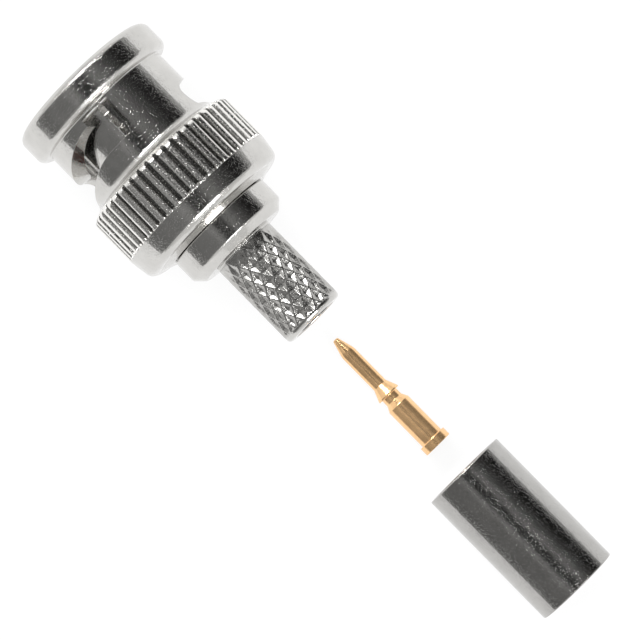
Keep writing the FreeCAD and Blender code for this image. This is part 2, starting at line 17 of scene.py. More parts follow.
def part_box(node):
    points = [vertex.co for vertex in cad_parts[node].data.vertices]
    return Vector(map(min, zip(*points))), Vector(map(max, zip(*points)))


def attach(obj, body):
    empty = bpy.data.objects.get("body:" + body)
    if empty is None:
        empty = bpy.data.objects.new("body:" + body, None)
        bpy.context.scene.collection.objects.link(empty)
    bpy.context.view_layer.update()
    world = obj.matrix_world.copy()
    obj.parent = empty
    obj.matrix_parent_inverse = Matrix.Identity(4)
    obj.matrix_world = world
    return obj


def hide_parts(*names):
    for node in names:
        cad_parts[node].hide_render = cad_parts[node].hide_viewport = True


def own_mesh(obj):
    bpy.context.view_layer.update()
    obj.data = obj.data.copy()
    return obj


bl_info = {
    "name": "Coaxial Cable Plug",
    "version": (1, 0, 0),
    "blender": (4, 5, 0),
    "location": "3D Viewport > Sidebar > Cable Plug",
    "description": "Builds a bayonet cable plug, its contact pin and its crimp ferrule",
    "category": "Object",
}

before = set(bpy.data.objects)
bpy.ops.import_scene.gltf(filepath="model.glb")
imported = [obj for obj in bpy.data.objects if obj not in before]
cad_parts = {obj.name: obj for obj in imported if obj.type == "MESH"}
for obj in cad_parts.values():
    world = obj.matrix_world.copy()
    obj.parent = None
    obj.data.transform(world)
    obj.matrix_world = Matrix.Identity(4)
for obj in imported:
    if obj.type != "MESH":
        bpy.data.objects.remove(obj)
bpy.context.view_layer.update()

MM = 0.001
TINY = 1e-9
TURN_STEPS = 192
NUT_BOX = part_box("coupling_nut")
BODY_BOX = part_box("plug_body")
PIN_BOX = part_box("contact_pin")
FERRULE_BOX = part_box("crimp_ferrule")
NOSE_X = NUT_BOX[0].x
PLUG_HEIGHT = (BODY_BOX[0].z + BODY_BOX[1].z) / 2
PIN_HEIGHT = (PIN_BOX[0].z + PIN_BOX[1].z) / 2
FERRULE_HEIGHT = (FERRULE_BOX[0].z + FERRULE_BOX[1].z) / 2


# Sizes and colours that a user may change

def length(name, description, millimetres):
    return FloatProperty(name=name, description=description, default=millimetres * MM, unit="LENGTH",
                         precision=5, min=0.0)


def colour(name, description, default):
    return FloatVectorProperty(name=name, description=description, default=default, subtype="COLOR", size=3,
                               min=0.0, max=1.0)


class NutSettings(bpy.types.PropertyGroup):
    """Coupling nut."""

    flange_radius: length("Nose flange radius", "Outside radius of the flange at the nose", 7.25)
    flange_width: length("Nose flange width", "Length of the nose flange along the axis", 2.9)
    flange_round: length("Nose flange round", "Radius on the two edges of the nose flange", 0.7)
    sleeve_radius: length("Sleeve radius", "Outside radius of the sleeve with the windows", 6.27)
    bore_radius: length("Bore radius", "Radius of the bore that goes over the jack", 4.92)
    ring_radius: length("Ring radius", "Outside radius over the grip ribs", 7.64)
    ring_front: length("Ring front", "Distance from the nose to the ribbed ring", 9.55)
    ring_slope: length("Ring slope", "Length of the slope from the sleeve up to the ring", 0.65)
    rib_length: length("Rib length", "Length of the grip ribs", 4.35)
    groove_depth: length("Groove depth", "Depth of the grooves between the ribs", 0.26)
    groove_width: length("Groove width", "Width of the grooves at the top", 0.44)
    rib_count: IntProperty(name="Rib count", description="Grip ribs round the ring", default=50, min=3)


class BodySettings(bpy.types.PropertyGroup):
    """Plug body with its crimp stem."""

    flange_radius: length("Flange radius", "Outside radius of the flange behind the nut", 5.03)
    chamfer_radius: length("Chamfer radius", "Radius at the small end of the flange's chamfer", 4.2)
    stem_radius: length("Stem radius", "Outside radius of the crimp stem", 2.91)
    bore_radius: length("Stem bore radius", "Bore that takes the cable's dielectric", 2.05)
    pit_depth: length("Knurl depth", "Depth of the diamond pits of the knurl", 0.22)
    pits_around: IntProperty(name="Pits around", description="Diamond pits round the stem", default=17, min=3)


class FinishSettings(bpy.types.PropertyGroup):
    """Colours of the finishes."""

    nickel: colour("Nickel", "Bright nickel plate", (0.64, 0.63, 0.61))
    gold: colour("Gold", "Pale gold plate of the contact pin", (1.0, 0.64, 0.33))
    bronze: colour("Spring bronze", "Bare bronze of the washers", (0.55, 0.33, 0.17))
    silicone: colour("Silicone", "Rubber of the gasket", (0.42, 0.07, 0.04))
    insulator: colour("Insulator", "Turned white fluoropolymer", (0.82, 0.81, 0.77))
    ground: colour("Ground", "Surface that the pieces lie on", (0.9, 0.9, 0.9))


# Turned shapes

ALONG_CHORD = 0.9
STRAIGHT_ON = 0.99999


def outline_chords(corners, arc_steps=6):
    """The closed outline of a turned piece, with its corners rounded.

    corners are (distance, radius, round) and run backwards along the outside and
    forwards along the bore. Each chord holds its two ends and the true surface
    normals there.
    """
    count = len(corners)
    points = []
    for index, (along, radius, rounding) in enumerate(corners):
        here = Vector((along, radius))
        if rounding <= 0:
            points.append((here, None))
            continue
        before = Vector(corners[index - 1][:2]) - here
        after = Vector(corners[(index + 1) % count][:2]) - here
        before.normalize()
        after.normalize()
        half = math.acos(max(-1.0, min(1.0, before.dot(after)))) / 2
        reach = rounding / math.tan(half)
        centre = here + (before + after).normalized() * (rounding / math.sin(half))
        start = here + before * reach - centre
        end = here + after * reach - centre
        sweep = start.angle_signed(end)
        outward = 1 if (start + end).dot(here - centre) > 0 else -1
        convex = -1 if before.x * after.y - before.y * after.x > 0 else 1
        for step in range(arc_steps + 1):
            share = step / arc_steps
            turn = Matrix.Rotation(-sweep * share, 2)
            spoke = turn @ start
            points.append((centre + spoke, spoke.normalized() * convex * outward))
    chords = []
    for index, (start, start_normal) in enumerate(points):
        end, end_normal = points[(index + 1) % len(points)]
        run = end - start
        if run.length < TINY:
            continue
        flat = Vector((-run.y, run.x)).normalized()
        on_arc = (start_normal is not None and end_normal is not None
                  and min(start_normal.dot(flat), end_normal.dot(flat)) > ALONG_CHORD
                  and start_normal.dot(end_normal) < STRAIGHT_ON)
        chords.append((start, end, start_normal if on_arc else flat, end_normal if on_arc else flat))
    return chords


def turned_mesh(name, chords, steps=TURN_STEPS):
    """A closed mesh made by turning the outline round the X axis."""
    shape = bmesh.new()
    rings = []
    for start, *_ in chords:
        if start.y < TINY:
            rings.append([shape.verts.new((start.x, 0, 0))])
            continue
        ring = []
        for step in range(steps):
            turn = 2 * math.pi * step / steps
            ring.append(shape.verts.new((start.x, start.y * math.sin(turn), start.y * math.cos(turn))))
        rings.append(ring)
    for index, ring in enumerate(rings):
        following = rings[(index + 1) % len(rings)]
        if len(ring) == 1 and len(following) == 1:
            continue
        for step in range(steps):
            after = (step + 1) % steps
            corners = [ring[step % len(ring)], following[step % len(following)],
                       following[after % len(following)], ring[after % len(ring)]]
            shape.faces.new(list(dict.fromkeys(corners)))
    mesh = bpy.data.meshes.new(name)
    shape.to_mesh(mesh)
    shape.free()
    return mesh


def corner_data(mesh):
    """Arrays of each face's corners: their vertices, their faces and the face normals."""
    corner_vertices = np.zeros(len(mesh.loops), np.int64)
    mesh.loops.foreach_get("vertex_index", corner_vertices)
    totals = np.zeros(len(mesh.polygons), np.int64)
    mesh.polygons.foreach_get("loop_total", totals)
    corner_faces = np.repeat(np.arange(len(mesh.polygons)), totals)
    face_normals = np.zeros(len(mesh.polygons) * 3)
    mesh.polygons.foreach_get("normal", face_normals)
    places = np.zeros(len(mesh.vertices) * 3)
    mesh.vertices.foreach_get("co", places)
    return corner_vertices, corner_faces, face_normals.reshape(-1, 3), places.reshape(-1, 3)


def soft_normals(mesh, sharp_degrees):
    """Corner normals averaged over the neighbouring faces that meet below the sharp angle."""
    corner_vertices, corner_faces, face_normals, _ = corner_data(mesh)
    areas = np.zeros(len(mesh.polygons))
    mesh.polygons.foreach_get("area", areas)
    limit = math.cos(math.radians(sharp_degrees))
    around = [[] for _ in mesh.vertices]
    for vertex, face in zip(corner_vertices, corner_faces):
        around[vertex].append(face)
    normals = np.zeros((len(corner_vertices), 3))
    for corner, (vertex, face) in enumerate(zip(corner_vertices, corner_faces)):
        own = face_normals[face]
        near = face_normals[around[vertex]]
        weights = areas[around[vertex]] * ((near @ own) > limit)
        total = weights @ near
        size = np.linalg.norm(total)
        normals[corner] = total / size if size > 0 else own
    return normals


# How far a face may lie off the outline, its sag as a share of its radius, and how well its normal has to agree
SURFACE_GAP = 0.004 * MM
FACET_SAG = 0.002
SAME_SIDE = 0.8


def true_normals(mesh, chords, normals):
    """Puts the outline's exact normals on every corner whose face lies on the turned surface."""
    corner_vertices, corner_faces, face_normals, places = corner_data(mesh)
    radii = np.hypot(places[:, 1], places[:, 2])
    starts = np.array([chord[0] for chord in chords])
    ends = np.array([chord[1] for chord in chords])
    start_normals = np.array([chord[2] for chord in chords])
    end_normals = np.array([chord[3] for chord in chords])
    runs = ends - starts
    run_squares = (runs ** 2).sum(1)
    centres = np.zeros(len(mesh.polygons) * 3)
    mesh.polygons.foreach_get("center", centres)
    centres = centres.reshape(-1, 3)
    sag = SURFACE_GAP + np.hypot(centres[:, 1], centres[:, 2]) * FACET_SAG
    chosen = np.full(len(mesh.polygons), -1)
    for face in range(len(mesh.polygons)):
        centre = centres[face]
        flat_place = np.array([centre[0], math.hypot(centre[1], centre[2])])
        share = np.clip(((flat_place - starts) * runs).sum(1) / run_squares, 0, 1)
        gaps = np.linalg.norm(starts + runs * share[:, None] - flat_place, axis=1)
        spoke = centre[1:] / max(flat_place[1], TINY)
        own = np.array([face_normals[face][0], face_normals[face][1:] @ spoke])
        mean = start_normals + end_normals
        agree = (mean @ own) / np.linalg.norm(mean, axis=1)
        gaps = np.where(agree > SAME_SIDE, gaps, np.inf)
        best = int(np.argmin(gaps))
        if gaps[best] < sag[face]:
            chosen[face] = best
    for corner, (vertex, face) in enumerate(zip(corner_vertices, corner_faces)):
        chord = chosen[face]
        if chord < 0 or radii[vertex] < TINY:
            continue
        place = np.array([places[vertex][0], radii[vertex]])
        share = float(np.clip((place - starts[chord]) @ runs[chord] / run_squares[chord], 0, 1))
        along, outward = start_normals[chord] * (1 - share) + end_normals[chord] * share
        spoke = places[vertex][1:] / radii[vertex]
        normals[corner] = (along, outward * spoke[0], outward * spoke[1])
    return normals


def shade(mesh, chords=None, sharp_degrees=35):
    """Smooth shading with sharp edges, exact on turned surfaces."""
    mesh.polygons.foreach_set("use_smooth", [True] * len(mesh.polygons))
    normals = soft_normals(mesh, sharp_degrees)
    if chords:
        normals = true_normals(mesh, chords, normals)
    normals /= np.linalg.norm(normals, axis=1)[:, None]
    mesh.normals_split_custom_set(normals.tolist())


def add_piece(name, mesh, place, finish, body, replaced=()):
    """Makes a finished piece: its place in its mesh, its material, and the body that it rides on."""
    mesh.transform(Matrix.Translation(place))
    mesh.materials.clear()
    mesh.materials.append(finish)
    piece = bpy.data.objects.new(name, mesh)
    bpy.context.scene.collection.objects.link(piece)
    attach(piece, body)
    if replaced:
        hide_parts(*replaced)
    return piece


def in_metres(corners):
    """The corners of an outline that is given in millimetres."""
    return [(along * MM, radius * MM, rounding * MM) for along, radius, rounding in corners]


def turned_piece(name, corners, place, finish, body, replaced=()):
    """A piece that is only turned, from its outline in millimetres."""
    chords = outline_chords(in_metres(corners))
    mesh = turned_mesh(name, chords)
    shade(mesh, chords)
    return add_piece(name, mesh, place, finish, body, replaced)


def evaluated_mesh(name, source):
    """The plain mesh that an object's modifiers give. The object itself is removed."""
    graph = bpy.context.evaluated_depsgraph_get()
    mesh = bpy.data.meshes.new_from_object(source.evaluated_get(graph))
    mesh.name = name
    bpy.data.objects.remove(source)
    return mesh


# Cuts in turned shapes

def wrapped_mesh(name, front, rear, inner, outer, angles):
    """A closed block wrapped round X between two radii.

    front and rear are functions of (angle, radius) that give its two edges along X.
    """
    shape = bmesh.new()
    sections = []
    for angle in angles:
        turn = math.radians(angle)
        section = []
        for edge, radius in ((front, inner), (front, outer), (rear, outer), (rear, inner)):
            along = edge(angle, radius)
            section.append(shape.verts.new((along, radius * math.sin(turn), radius * math.cos(turn))))
        sections.append(section)
    for section, following in zip(sections, sections[1:]):
        for side in range(4):
            after = (side + 1) % 4
            shape.faces.new((section[side], section[after], following[after], following[side]))
    shape.faces.new(sections[0])
    shape.faces.new(sections[-1])
    bmesh.ops.recalc_face_normals(shape, faces=shape.faces)
    mesh = bpy.data.meshes.new(name)
    shape.to_mesh(mesh)
    shape.free()
    return mesh


def cut_mesh(name, mesh, cutters):
    """The mesh with each cutter mesh taken away in turn."""
    blank = bpy.data.objects.new(name, mesh)
    bpy.context.scene.collection.objects.link(blank)
    tools = []
    for index, cutter in enumerate(cutters):
        tool = bpy.data.objects.new(f"cutter_{index}", cutter)
        bpy.context.scene.collection.objects.link(tool)
        tools.append(tool)
        cut = blank.modifiers.new(f"cut_{index}", "BOOLEAN")
        cut.operation = "DIFFERENCE"
        cut.solver = "EXACT"
        cut.object = tool
    bpy.context.view_layer.update()
    result = evaluated_mesh(name, blank)
    for tool in tools:
        bpy.data.objects.remove(tool)
    return result


# The bayonet tracks: angles round the plug and distances from its nose
TRACK_FLANGE_GAP = 0.15 * MM
TRACK_HIGH = 5.0
TRACK_LOW = -21.0
TRACK_CORNER = -0.4
TRACK_CORNER_CUT = 0.5 * MM
TRACK_ENTRY_END = 6.7 * MM
TRACK_WIDTH = 3.1 * MM
TRACK_RISE = 2.2 * MM
TRACK_LOCK = -107.0
TRACK_END = -121.0
TRACK_SEAT = 7.0 * MM
TRACK_WALL_SLOPE = 0.5 * MM
STUD_CHANNEL_DEPTH = 0.7 * MM
STUD_CHANNEL_SHORT = 1.5 * MM
STUD_SPACE = 1.4 * MM

# How the meshes that cut the tracks overlap the nut and each other, and how fine they are
BORE_OVERLAP = 0.35 * MM
NOSE_OVERLAP = 0.5 * MM
RAMP_OVERLAP = 1.0
CHANNEL_INSET = 0.1
CUT_STEP = 2.0
LOCK_STEPS = 16
LOCK_REACH = 0.999


def angle_steps(start, end, size):
    """Angles from start to end, about one size apart."""
    count = max(1, round(abs(end - start) / size))
    return [start + (end - start) * step / count for step in range(count + 1)]


def bayonet_cutters(nut):
    """The meshes that cut both bayonet tracks: entry window, rising ramp and lock seat."""
    skin = nut.sleeve_radius
    wall = skin - nut.bore_radius
    inner = nut.bore_radius - BORE_OVERLAP
    outer = skin + STUD_SPACE
    start = nut.flange_width + TRACK_FLANGE_GAP

    def ramp(angle):
        """How far the ramp has moved back, from 0 where it starts to 1 at the lock."""
        share = min(1.0, max(0.0, (TRACK_LOW - angle) / (TRACK_LOW - TRACK_LOCK)))
        return share * share * (3 - 2 * share)

    def closing(angle):
        """How much of the width is left in the rounded end."""
        share = min(1.0, max(0.0, (TRACK_LOCK - angle) / (TRACK_LOCK - TRACK_END)))
        return math.sqrt(max(0.0, 1 - share * share))

    def lip(angle, radius):
        straight = TRACK_ENTRY_END - TRACK_WIDTH + TRACK_RISE * ramp(angle)
        lean = TRACK_WALL_SLOPE * (skin - min(radius, skin)) / wall
        return TRACK_SEAT + (straight + lean - TRACK_SEAT) * closing(angle)

    def back(angle, radius):
        straight = TRACK_ENTRY_END + TRACK_RISE * ramp(angle)
        return TRACK_SEAT + (straight - TRACK_SEAT) * closing(angle)

    def entry_front(angle, radius):
        return start

    def entry_rear(angle, radius):
        past = max(0.0, (angle - TRACK_CORNER) / (TRACK_HIGH - TRACK_CORNER))
        return TRACK_ENTRY_END - TRACK_CORNER_CUT * past

    def channel_front(angle, radius):
        return -NOSE_OVERLAP

    def channel_rear(angle, radius):
        return TRACK_ENTRY_END - STUD_CHANNEL_SHORT

    entry_angles = angle_steps(TRACK_LOW, TRACK_CORNER, CUT_STEP)
    entry_angles += angle_steps(TRACK_CORNER, TRACK_HIGH, CUT_STEP)[1:]
    ramp_angles = angle_steps(TRACK_LOW + RAMP_OVERLAP, TRACK_LOCK, CUT_STEP)
    for step in range(1, LOCK_STEPS + 1):
        share = math.sin(math.pi / 2 * step / LOCK_STEPS) * LOCK_REACH
        ramp_angles.append(TRACK_LOCK + (TRACK_END - TRACK_LOCK) * share)
    channel_angles = angle_steps(TRACK_LOW + CHANNEL_INSET, TRACK_HIGH - CHANNEL_INSET, CUT_STEP)
    cutters = [
        wrapped_mesh("entry_cutter", entry_front, entry_rear, inner, outer, entry_angles),
        wrapped_mesh("ramp_cutter", lip, back, inner, outer, ramp_angles),
        wrapped_mesh("stud_channel_cutter", channel_front, channel_rear, inner,
                     nut.bore_radius + STUD_CHANNEL_DEPTH, channel_angles),
    ]
    half_turn = Matrix.Rotation(math.pi, 4, "X")
    for cutter in list(cutters):
        other = cutter.copy()
        other.transform(half_turn)
        cutters.append(other)
    return cutters


# Nodes

class Nodes:
    """Adds nodes to a tree and links them."""

    def __init__(self, tree):
        self.tree = tree

    def node(self, kind, **settings):
        node = self.tree.nodes.new(kind)
        for key, value in settings.items():
            setattr(node, key, value)
        return node

    def connect(self, source, target):
        self.tree.links.new(source, target)

    def math(self, operation, *values):
        """A Math node fed by sockets or numbers. Gives its output socket."""
        node = self.node("ShaderNodeMath", operation=operation)
        for socket, value in zip(node.inputs, values):
            if isinstance(value, (int, float)):
                socket.default_value = value
            else:
                self.connect(value, socket)
        return node.outputs[0]


# Shapes made by geometry nodes

MERGE_DISTANCE = 0.0005 * MM


class ShapeTree(Nodes):
    """A geometry node tree with named inputs, which gives a plain mesh."""

    def __init__(self, name):
        super().__init__(bpy.data.node_groups.new(name, "GeometryNodeTree"))
        self.tree.interface.new_socket("Geometry", in_out="OUTPUT", socket_type="NodeSocketGeometry")
        self.sockets = {}

    def add_input(self, name, kind, default=None):
        socket = self.tree.interface.new_socket(name, in_out="INPUT", socket_type=kind)
        if default is not None:
            socket.default_value = default
        self.sockets[name] = socket

    def start(self):
        """Closes the list of inputs and makes their sockets ready to use."""
        self.inputs = self.node("NodeGroupInput").outputs

    def finish(self, geometry):
        """Ends the tree in Realize Instances and Set Material."""
        realize = self.node("GeometryNodeRealizeInstances")
        merge = self.node("GeometryNodeMergeByDistance")
        merge.inputs["Distance"].default_value = MERGE_DISTANCE
        finish = self.node("GeometryNodeSetMaterial")
        output = self.node("NodeGroupOutput")
        self.connect(geometry, realize.inputs["Geometry"])
        self.connect(realize.outputs["Geometry"], merge.inputs["Geometry"])
        self.connect(merge.outputs["Geometry"], finish.inputs["Geometry"])
        self.connect(self.inputs["Finish"], finish.inputs["Material"])
        self.connect(finish.outputs["Geometry"], output.inputs["Geometry"])

    def bake(self, name, **values):
        """The mesh that the tree gives with these input values."""
        holder = bpy.data.objects.new(name, bpy.data.meshes.new(name))
        bpy.context.scene.collection.objects.link(holder)
        modifier = holder.modifiers.new(name, "NODES")
        modifier.node_group = self.tree
        for key, value in values.items():
            modifier[self.sockets[key].identifier] = value
        holder.update_tag()
        bpy.context.view_layer.update()
        return evaluated_mesh(name, holder)


def ring_tree():
    """Repeats one shape round the X axis."""
    nodes = ShapeTree("Ring of a shape")
    nodes.add_input("Shape", "NodeSocketObject")
    nodes.add_input("Count", "NodeSocketInt")
    nodes.add_input("Finish", "NodeSocketMaterial")
    nodes.start()
    shape = nodes.node("GeometryNodeObjectInfo")
    nodes.connect(nodes.inputs["Shape"], shape.inputs["Object"])
    points = nodes.node("GeometryNodePoints")
    nodes.connect(nodes.inputs["Count"], points.inputs["Count"])
    place = nodes.node("GeometryNodeInstanceOnPoints")
    nodes.connect(points.outputs[0], place.inputs["Points"])
    nodes.connect(shape.outputs["Geometry"], place.inputs["Instance"])
    index = nodes.node("GeometryNodeInputIndex")
    turn = nodes.math("DIVIDE", nodes.math("MULTIPLY", index.outputs[0], 2 * math.pi), nodes.inputs["Count"])
    angles = nodes.node("ShaderNodeCombineXYZ")
    nodes.connect(turn, angles.inputs["X"])
    nodes.connect(angles.outputs[0], place.inputs["Rotation"])
    nodes.finish(place.outputs["Instances"])
    return nodes


# The knurl: vertices of its grid, then shares of half a pit's width or of its depth, and how it ends
KNURL_STEPS_ALONG = 150
KNURL_STEPS_PER_PIT = 20
RIDGE_TOP = 0.06
PIT_SIDE = 0.8
PIT_FLOOR = 0.85
PIT_ROUND = 0.3
KNURL_FADE = 1.6 * MM
REAR_STEEPNESS = 30.0


def knurl_tree(pits_around):
    """A sleeve with staggered diamond pits pressed into it, round the X axis."""
    nodes = ShapeTree("Diamond knurl")
    nodes.add_input("Radius", "NodeSocketFloat")
    nodes.add_input("Length", "NodeSocketFloat")
    nodes.add_input("Depth", "NodeSocketFloat")
    nodes.add_input("Pits around", "NodeSocketInt")
    nodes.add_input("Pit rows", "NodeSocketFloat")
    nodes.add_input("Fade length", "NodeSocketFloat", KNURL_FADE)
    nodes.add_input("Finish", "NodeSocketMaterial")
    nodes.start()
    value = nodes.inputs
    grid = nodes.node("GeometryNodeMeshGrid")
    grid.inputs["Size X"].default_value = 1.0
    grid.inputs["Size Y"].default_value = 1.0
    grid.inputs["Vertices X"].default_value = KNURL_STEPS_ALONG + 1
    grid.inputs["Vertices Y"].default_value = KNURL_STEPS_PER_PIT * pits_around + 1
    place = nodes.node("GeometryNodeInputPosition")
    split = nodes.node("ShaderNodeSeparateXYZ")
    nodes.connect(place.outputs[0], split.inputs[0])
    along = nodes.math("ADD", split.outputs["X"], 0.5)
    around = nodes.math("ADD", split.outputs["Y"], 0.5)
    pits = nodes.math("MULTIPLY", around, value["Pits around"])
    rows = nodes.math("MULTIPLY", along, value["Pit rows"])
    first = nodes.math("ADD", pits, rows)
    second = nodes.math("SUBTRACT", pits, rows)

    def distance_to_ridge(family):
        """How far a point is from the ridges of one family, from 0 on a ridge to 1 between two."""
        return nodes.math("MULTIPLY", nodes.math("PINGPONG", family, 0.5), 2.0)

    near_ridge = nodes.math("MINIMUM", distance_to_ridge(first), distance_to_ridge(second))
    land = nodes.math("MAXIMUM", nodes.math("SUBTRACT", near_ridge, RIDGE_TOP), 0.0)
    slope = nodes.math("MINIMUM", nodes.math("DIVIDE", land, PIT_SIDE), 1.0)
    rounded = nodes.math("SMOOTH_MIN", slope, PIT_FLOOR, PIT_ROUND)
    from_front = nodes.math("DIVIDE", nodes.math("MULTIPLY", along, value["Length"]), value["Fade length"])
    from_rear = nodes.math("MULTIPLY", nodes.math("SUBTRACT", 1.0, along), REAR_STEEPNESS)
    fade = nodes.math("MINIMUM", nodes.math("MINIMUM", from_front, from_rear), 1.0)
    depth = nodes.math("MULTIPLY", nodes.math("MULTIPLY", rounded, fade), value["Depth"])
    radius = nodes.math("SUBTRACT", value["Radius"], depth)
    turn = nodes.math("MULTIPLY", around, 2 * math.pi)
    point = nodes.node("ShaderNodeCombineXYZ")
    nodes.connect(nodes.math("MULTIPLY", along, value["Length"]), point.inputs["X"])
    nodes.connect(nodes.math("MULTIPLY", radius, nodes.math("SINE", turn)), point.inputs["Y"])
    nodes.connect(nodes.math("MULTIPLY", radius, nodes.math("COSINE", turn)), point.inputs["Z"])
    wrap = nodes.node("GeometryNodeSetPosition")
    nodes.connect(grid.outputs["Mesh"], wrap.inputs["Geometry"])
    nodes.connect(point.outputs[0], wrap.inputs["Position"])
    nodes.finish(wrap.outputs["Geometry"])
    return nodes


def close_sleeve(mesh, inner_radius):
    """Gives an open sleeve round X an inside, so that it is a closed wall."""
    shape = bmesh.new()
    shape.from_mesh(mesh)
    rims = [edge for edge in shape.edges if edge.is_boundary]
    turned_in = bmesh.ops.extrude_edge_only(shape, edges=rims)["geom"]
    inner = [item for item in turned_in if isinstance(item, bmesh.types.BMVert)]
    for vertex in inner:
        radius = math.hypot(vertex.co.y, vertex.co.z)
        vertex.co.y *= inner_radius / radius
        vertex.co.z *= inner_radius / radius
    inner_edges = [item for item in turned_in if isinstance(item, bmesh.types.BMEdge) and item.is_boundary]
    bmesh.ops.bridge_loops(shape, edges=inner_edges)
    bmesh.ops.recalc_face_normals(shape, faces=shape.faces)
    shape.to_mesh(mesh)
    shape.free()
    return mesh


# Finishes

class Finish(Nodes):
    """A material built from nodes round one Principled shader."""

    def __init__(self, name):
        self.material = bpy.data.materials.new(name)
        self.material.use_nodes = True
        super().__init__(self.material.node_tree)
        self.shader = self.tree.nodes["Principled BSDF"]
        self.place = self.node("ShaderNodeTexCoord").outputs["Object"]

    def stretched(self, scale):
        """Object coordinates scaled per axis."""
        mapping = self.node("ShaderNodeMapping")
        mapping.inputs["Scale"].default_value = scale
        self.connect(self.place, mapping.inputs["Vector"])
        return mapping.outputs["Vector"]

    def noise(self, size, detail=2.0, place=None):
        """Cloudy noise whose features are about one size across."""
        noise = self.node("ShaderNodeTexNoise")
        noise.inputs["Scale"].default_value = 1.0 / size
        noise.inputs["Detail"].default_value = detail
        self.connect(place or self.place, noise.inputs["Vector"])
        return noise.outputs["Fac"]

    def ranged(self, source, low, high, start=0.35, end=0.65):
        """Maps a noise's middle range to a range of values."""
        node = self.node("ShaderNodeMapRange")
        node.inputs["From Min"].default_value = start
        node.inputs["From Max"].default_value = end
        node.inputs["To Min"].default_value = low
        node.inputs["To Max"].default_value = high
        self.connect(source, node.inputs["Value"])
        return node.outputs["Result"]

    def colours(self, source, dark, light):
        """Blends two colours by a value from 0 to 1."""
        mix = self.node("ShaderNodeMix", data_type="RGBA")
        mix.inputs["A"].default_value = (*dark, 1)
        mix.inputs["B"].default_value = (*light, 1)
        self.connect(source, mix.inputs["Factor"])
        self.connect(mix.outputs["Result"], self.shader.inputs["Base Color"])

    def bumps(self, *layers, edge=0.0):
        """Stacks bump layers of (height source, height in metres, strength) on softened edges."""
        normal = None
        if edge:
            bevel = self.node("ShaderNodeBevel", samples=4)
            bevel.inputs["Radius"].default_value = edge
            normal = bevel.outputs["Normal"]
        for source, height, strength in layers:
            bump = self.node("ShaderNodeBump")
            bump.inputs["Strength"].default_value = strength
            bump.inputs["Distance"].default_value = height
            self.connect(source, bump.inputs["Height"])
            if normal:
                self.connect(normal, bump.inputs["Normal"])
            normal = bump.outputs["Normal"]
        self.connect(normal, self.shader.inputs["Normal"])


def shaded(base, share):
    """A colour made darker or lighter by a share."""
    return tuple(channel * share for channel in base)


def nickel_plate(name, base, streaks, roughness, speckle_height, painted_groove_shade=False):
    """Bright nickel over turned brass: cloudy reflections, fine speckle and faint lines.

    streaks is the stretch of the fine lines: along X on drawn tube, round X where turned.
    When the last argument is set, shade is painted into the plate's colour: it is darkened in narrow grooves and
    pits, by ambient occlusion.
    """
    finish = Finish(name)
    finish.shader.inputs["Metallic"].default_value = 1.0
    clouds = finish.noise(1.4 * MM, 3.0)
    speckle = finish.ranged(finish.noise(0.09 * MM, 0.0), 0.0, 1.0, start=0.56, end=0.74)
    grain = finish.noise(0.3 * MM, 2.0, finish.stretched(streaks))
    if painted_groove_shade:
        # Painted shade: ambient occlusion darkens the base colour down to a quarter in grooves and pits.
        groove_shade_ao = finish.node("ShaderNodeAmbientOcclusion", samples=8)
        groove_shade_ao.inputs["Distance"].default_value = 0.4 * MM
        unshaded_share = finish.ranged(groove_shade_ao.outputs["AO"], 0.0, 1.0, start=0.45, end=0.92)
        finish.colours(unshaded_share, shaded(base, 0.25), base)
    else:
        finish.colours(finish.ranged(clouds, 0.0, 1.0), shaded(base, 0.93), base)
    finish.connect(finish.ranged(speckle, *roughness), finish.shader.inputs["Roughness"])
    finish.bumps((speckle, speckle_height, 0.8), (grain, 0.004 * MM, 0.2), (clouds, 0.008 * MM, 0.2),
                 edge=0.06 * MM)
    return finish.material


def gold_plate(base):
    """Pale gold over turned brass, with the tool's fine lines."""
    finish = Finish("gold_plate")
    finish.shader.inputs["Metallic"].default_value = 0.86
    clouds = finish.noise(0.8 * MM, 3.0)
    lines = finish.noise(0.25 * MM, 2.0, finish.stretched((5.0, 1.0, 1.0)))
    finish.colours(finish.ranged(clouds, 0.0, 1.0), shaded(base, 0.9), base)
    finish.connect(finish.ranged(clouds, 0.16, 0.24), finish.shader.inputs["Roughness"])
    finish.bumps((lines, 0.008 * MM, 0.5), (clouds, 0.006 * MM, 0.2))
    return finish.material


def spring_bronze(base):
    """Rolled bronze, a little tarnished."""
    finish = Finish("spring_bronze")
    finish.shader.inputs["Metallic"].default_value = 1.0
    tarnish = finish.noise(1.0 * MM, 4.0)
    lines = finish.noise(0.2 * MM, 2.0, finish.stretched((1.0, 6.0, 1.0)))
    finish.colours(finish.ranged(tarnish, 0.0, 1.0), shaded(base, 0.6), base)
    finish.connect(finish.ranged(tarnish, 0.25, 0.42), finish.shader.inputs["Roughness"])
    finish.bumps((lines, 0.004 * MM, 0.5))
    return finish.material


def silicone_rubber(base):
    """Soft matte silicone with a moulded skin."""
    finish = Finish("silicone_rubber")
    finish.shader.inputs["Roughness"].default_value = 0.55
    skin = finish.noise(0.35 * MM, 3.0)
    finish.colours(finish.ranged(skin, 0.0, 1.0), shaded(base, 0.8), base)
    finish.bumps((skin, 0.01 * MM, 0.4))
    return finish.material


def white_insulator(base):
    """Turned fluoropolymer: waxy white with the tool's rings."""
    finish = Finish("white_insulator")
    finish.shader.inputs["Subsurface Weight"].default_value = 0.25
    finish.shader.inputs["Subsurface Scale"].default_value = 0.4 * MM
    clouds = finish.noise(0.9 * MM, 3.0)
    rings = finish.noise(0.15 * MM, 1.0, finish.stretched((1.0, 0.05, 0.05)))
    finish.colours(finish.ranged(clouds, 0.0, 1.0), shaded(base, 0.94), base)
    finish.connect(finish.ranged(clouds, 0.36, 0.48), finish.shader.inputs["Roughness"])
    finish.bumps((rings, 0.006 * MM, 0.5))
    return finish.material


# Pieces

def plug_place(distance):
    """The point on the plug's axis at a distance from its nose."""
    return Vector((NOSE_X + distance, 0, PLUG_HEIGHT))


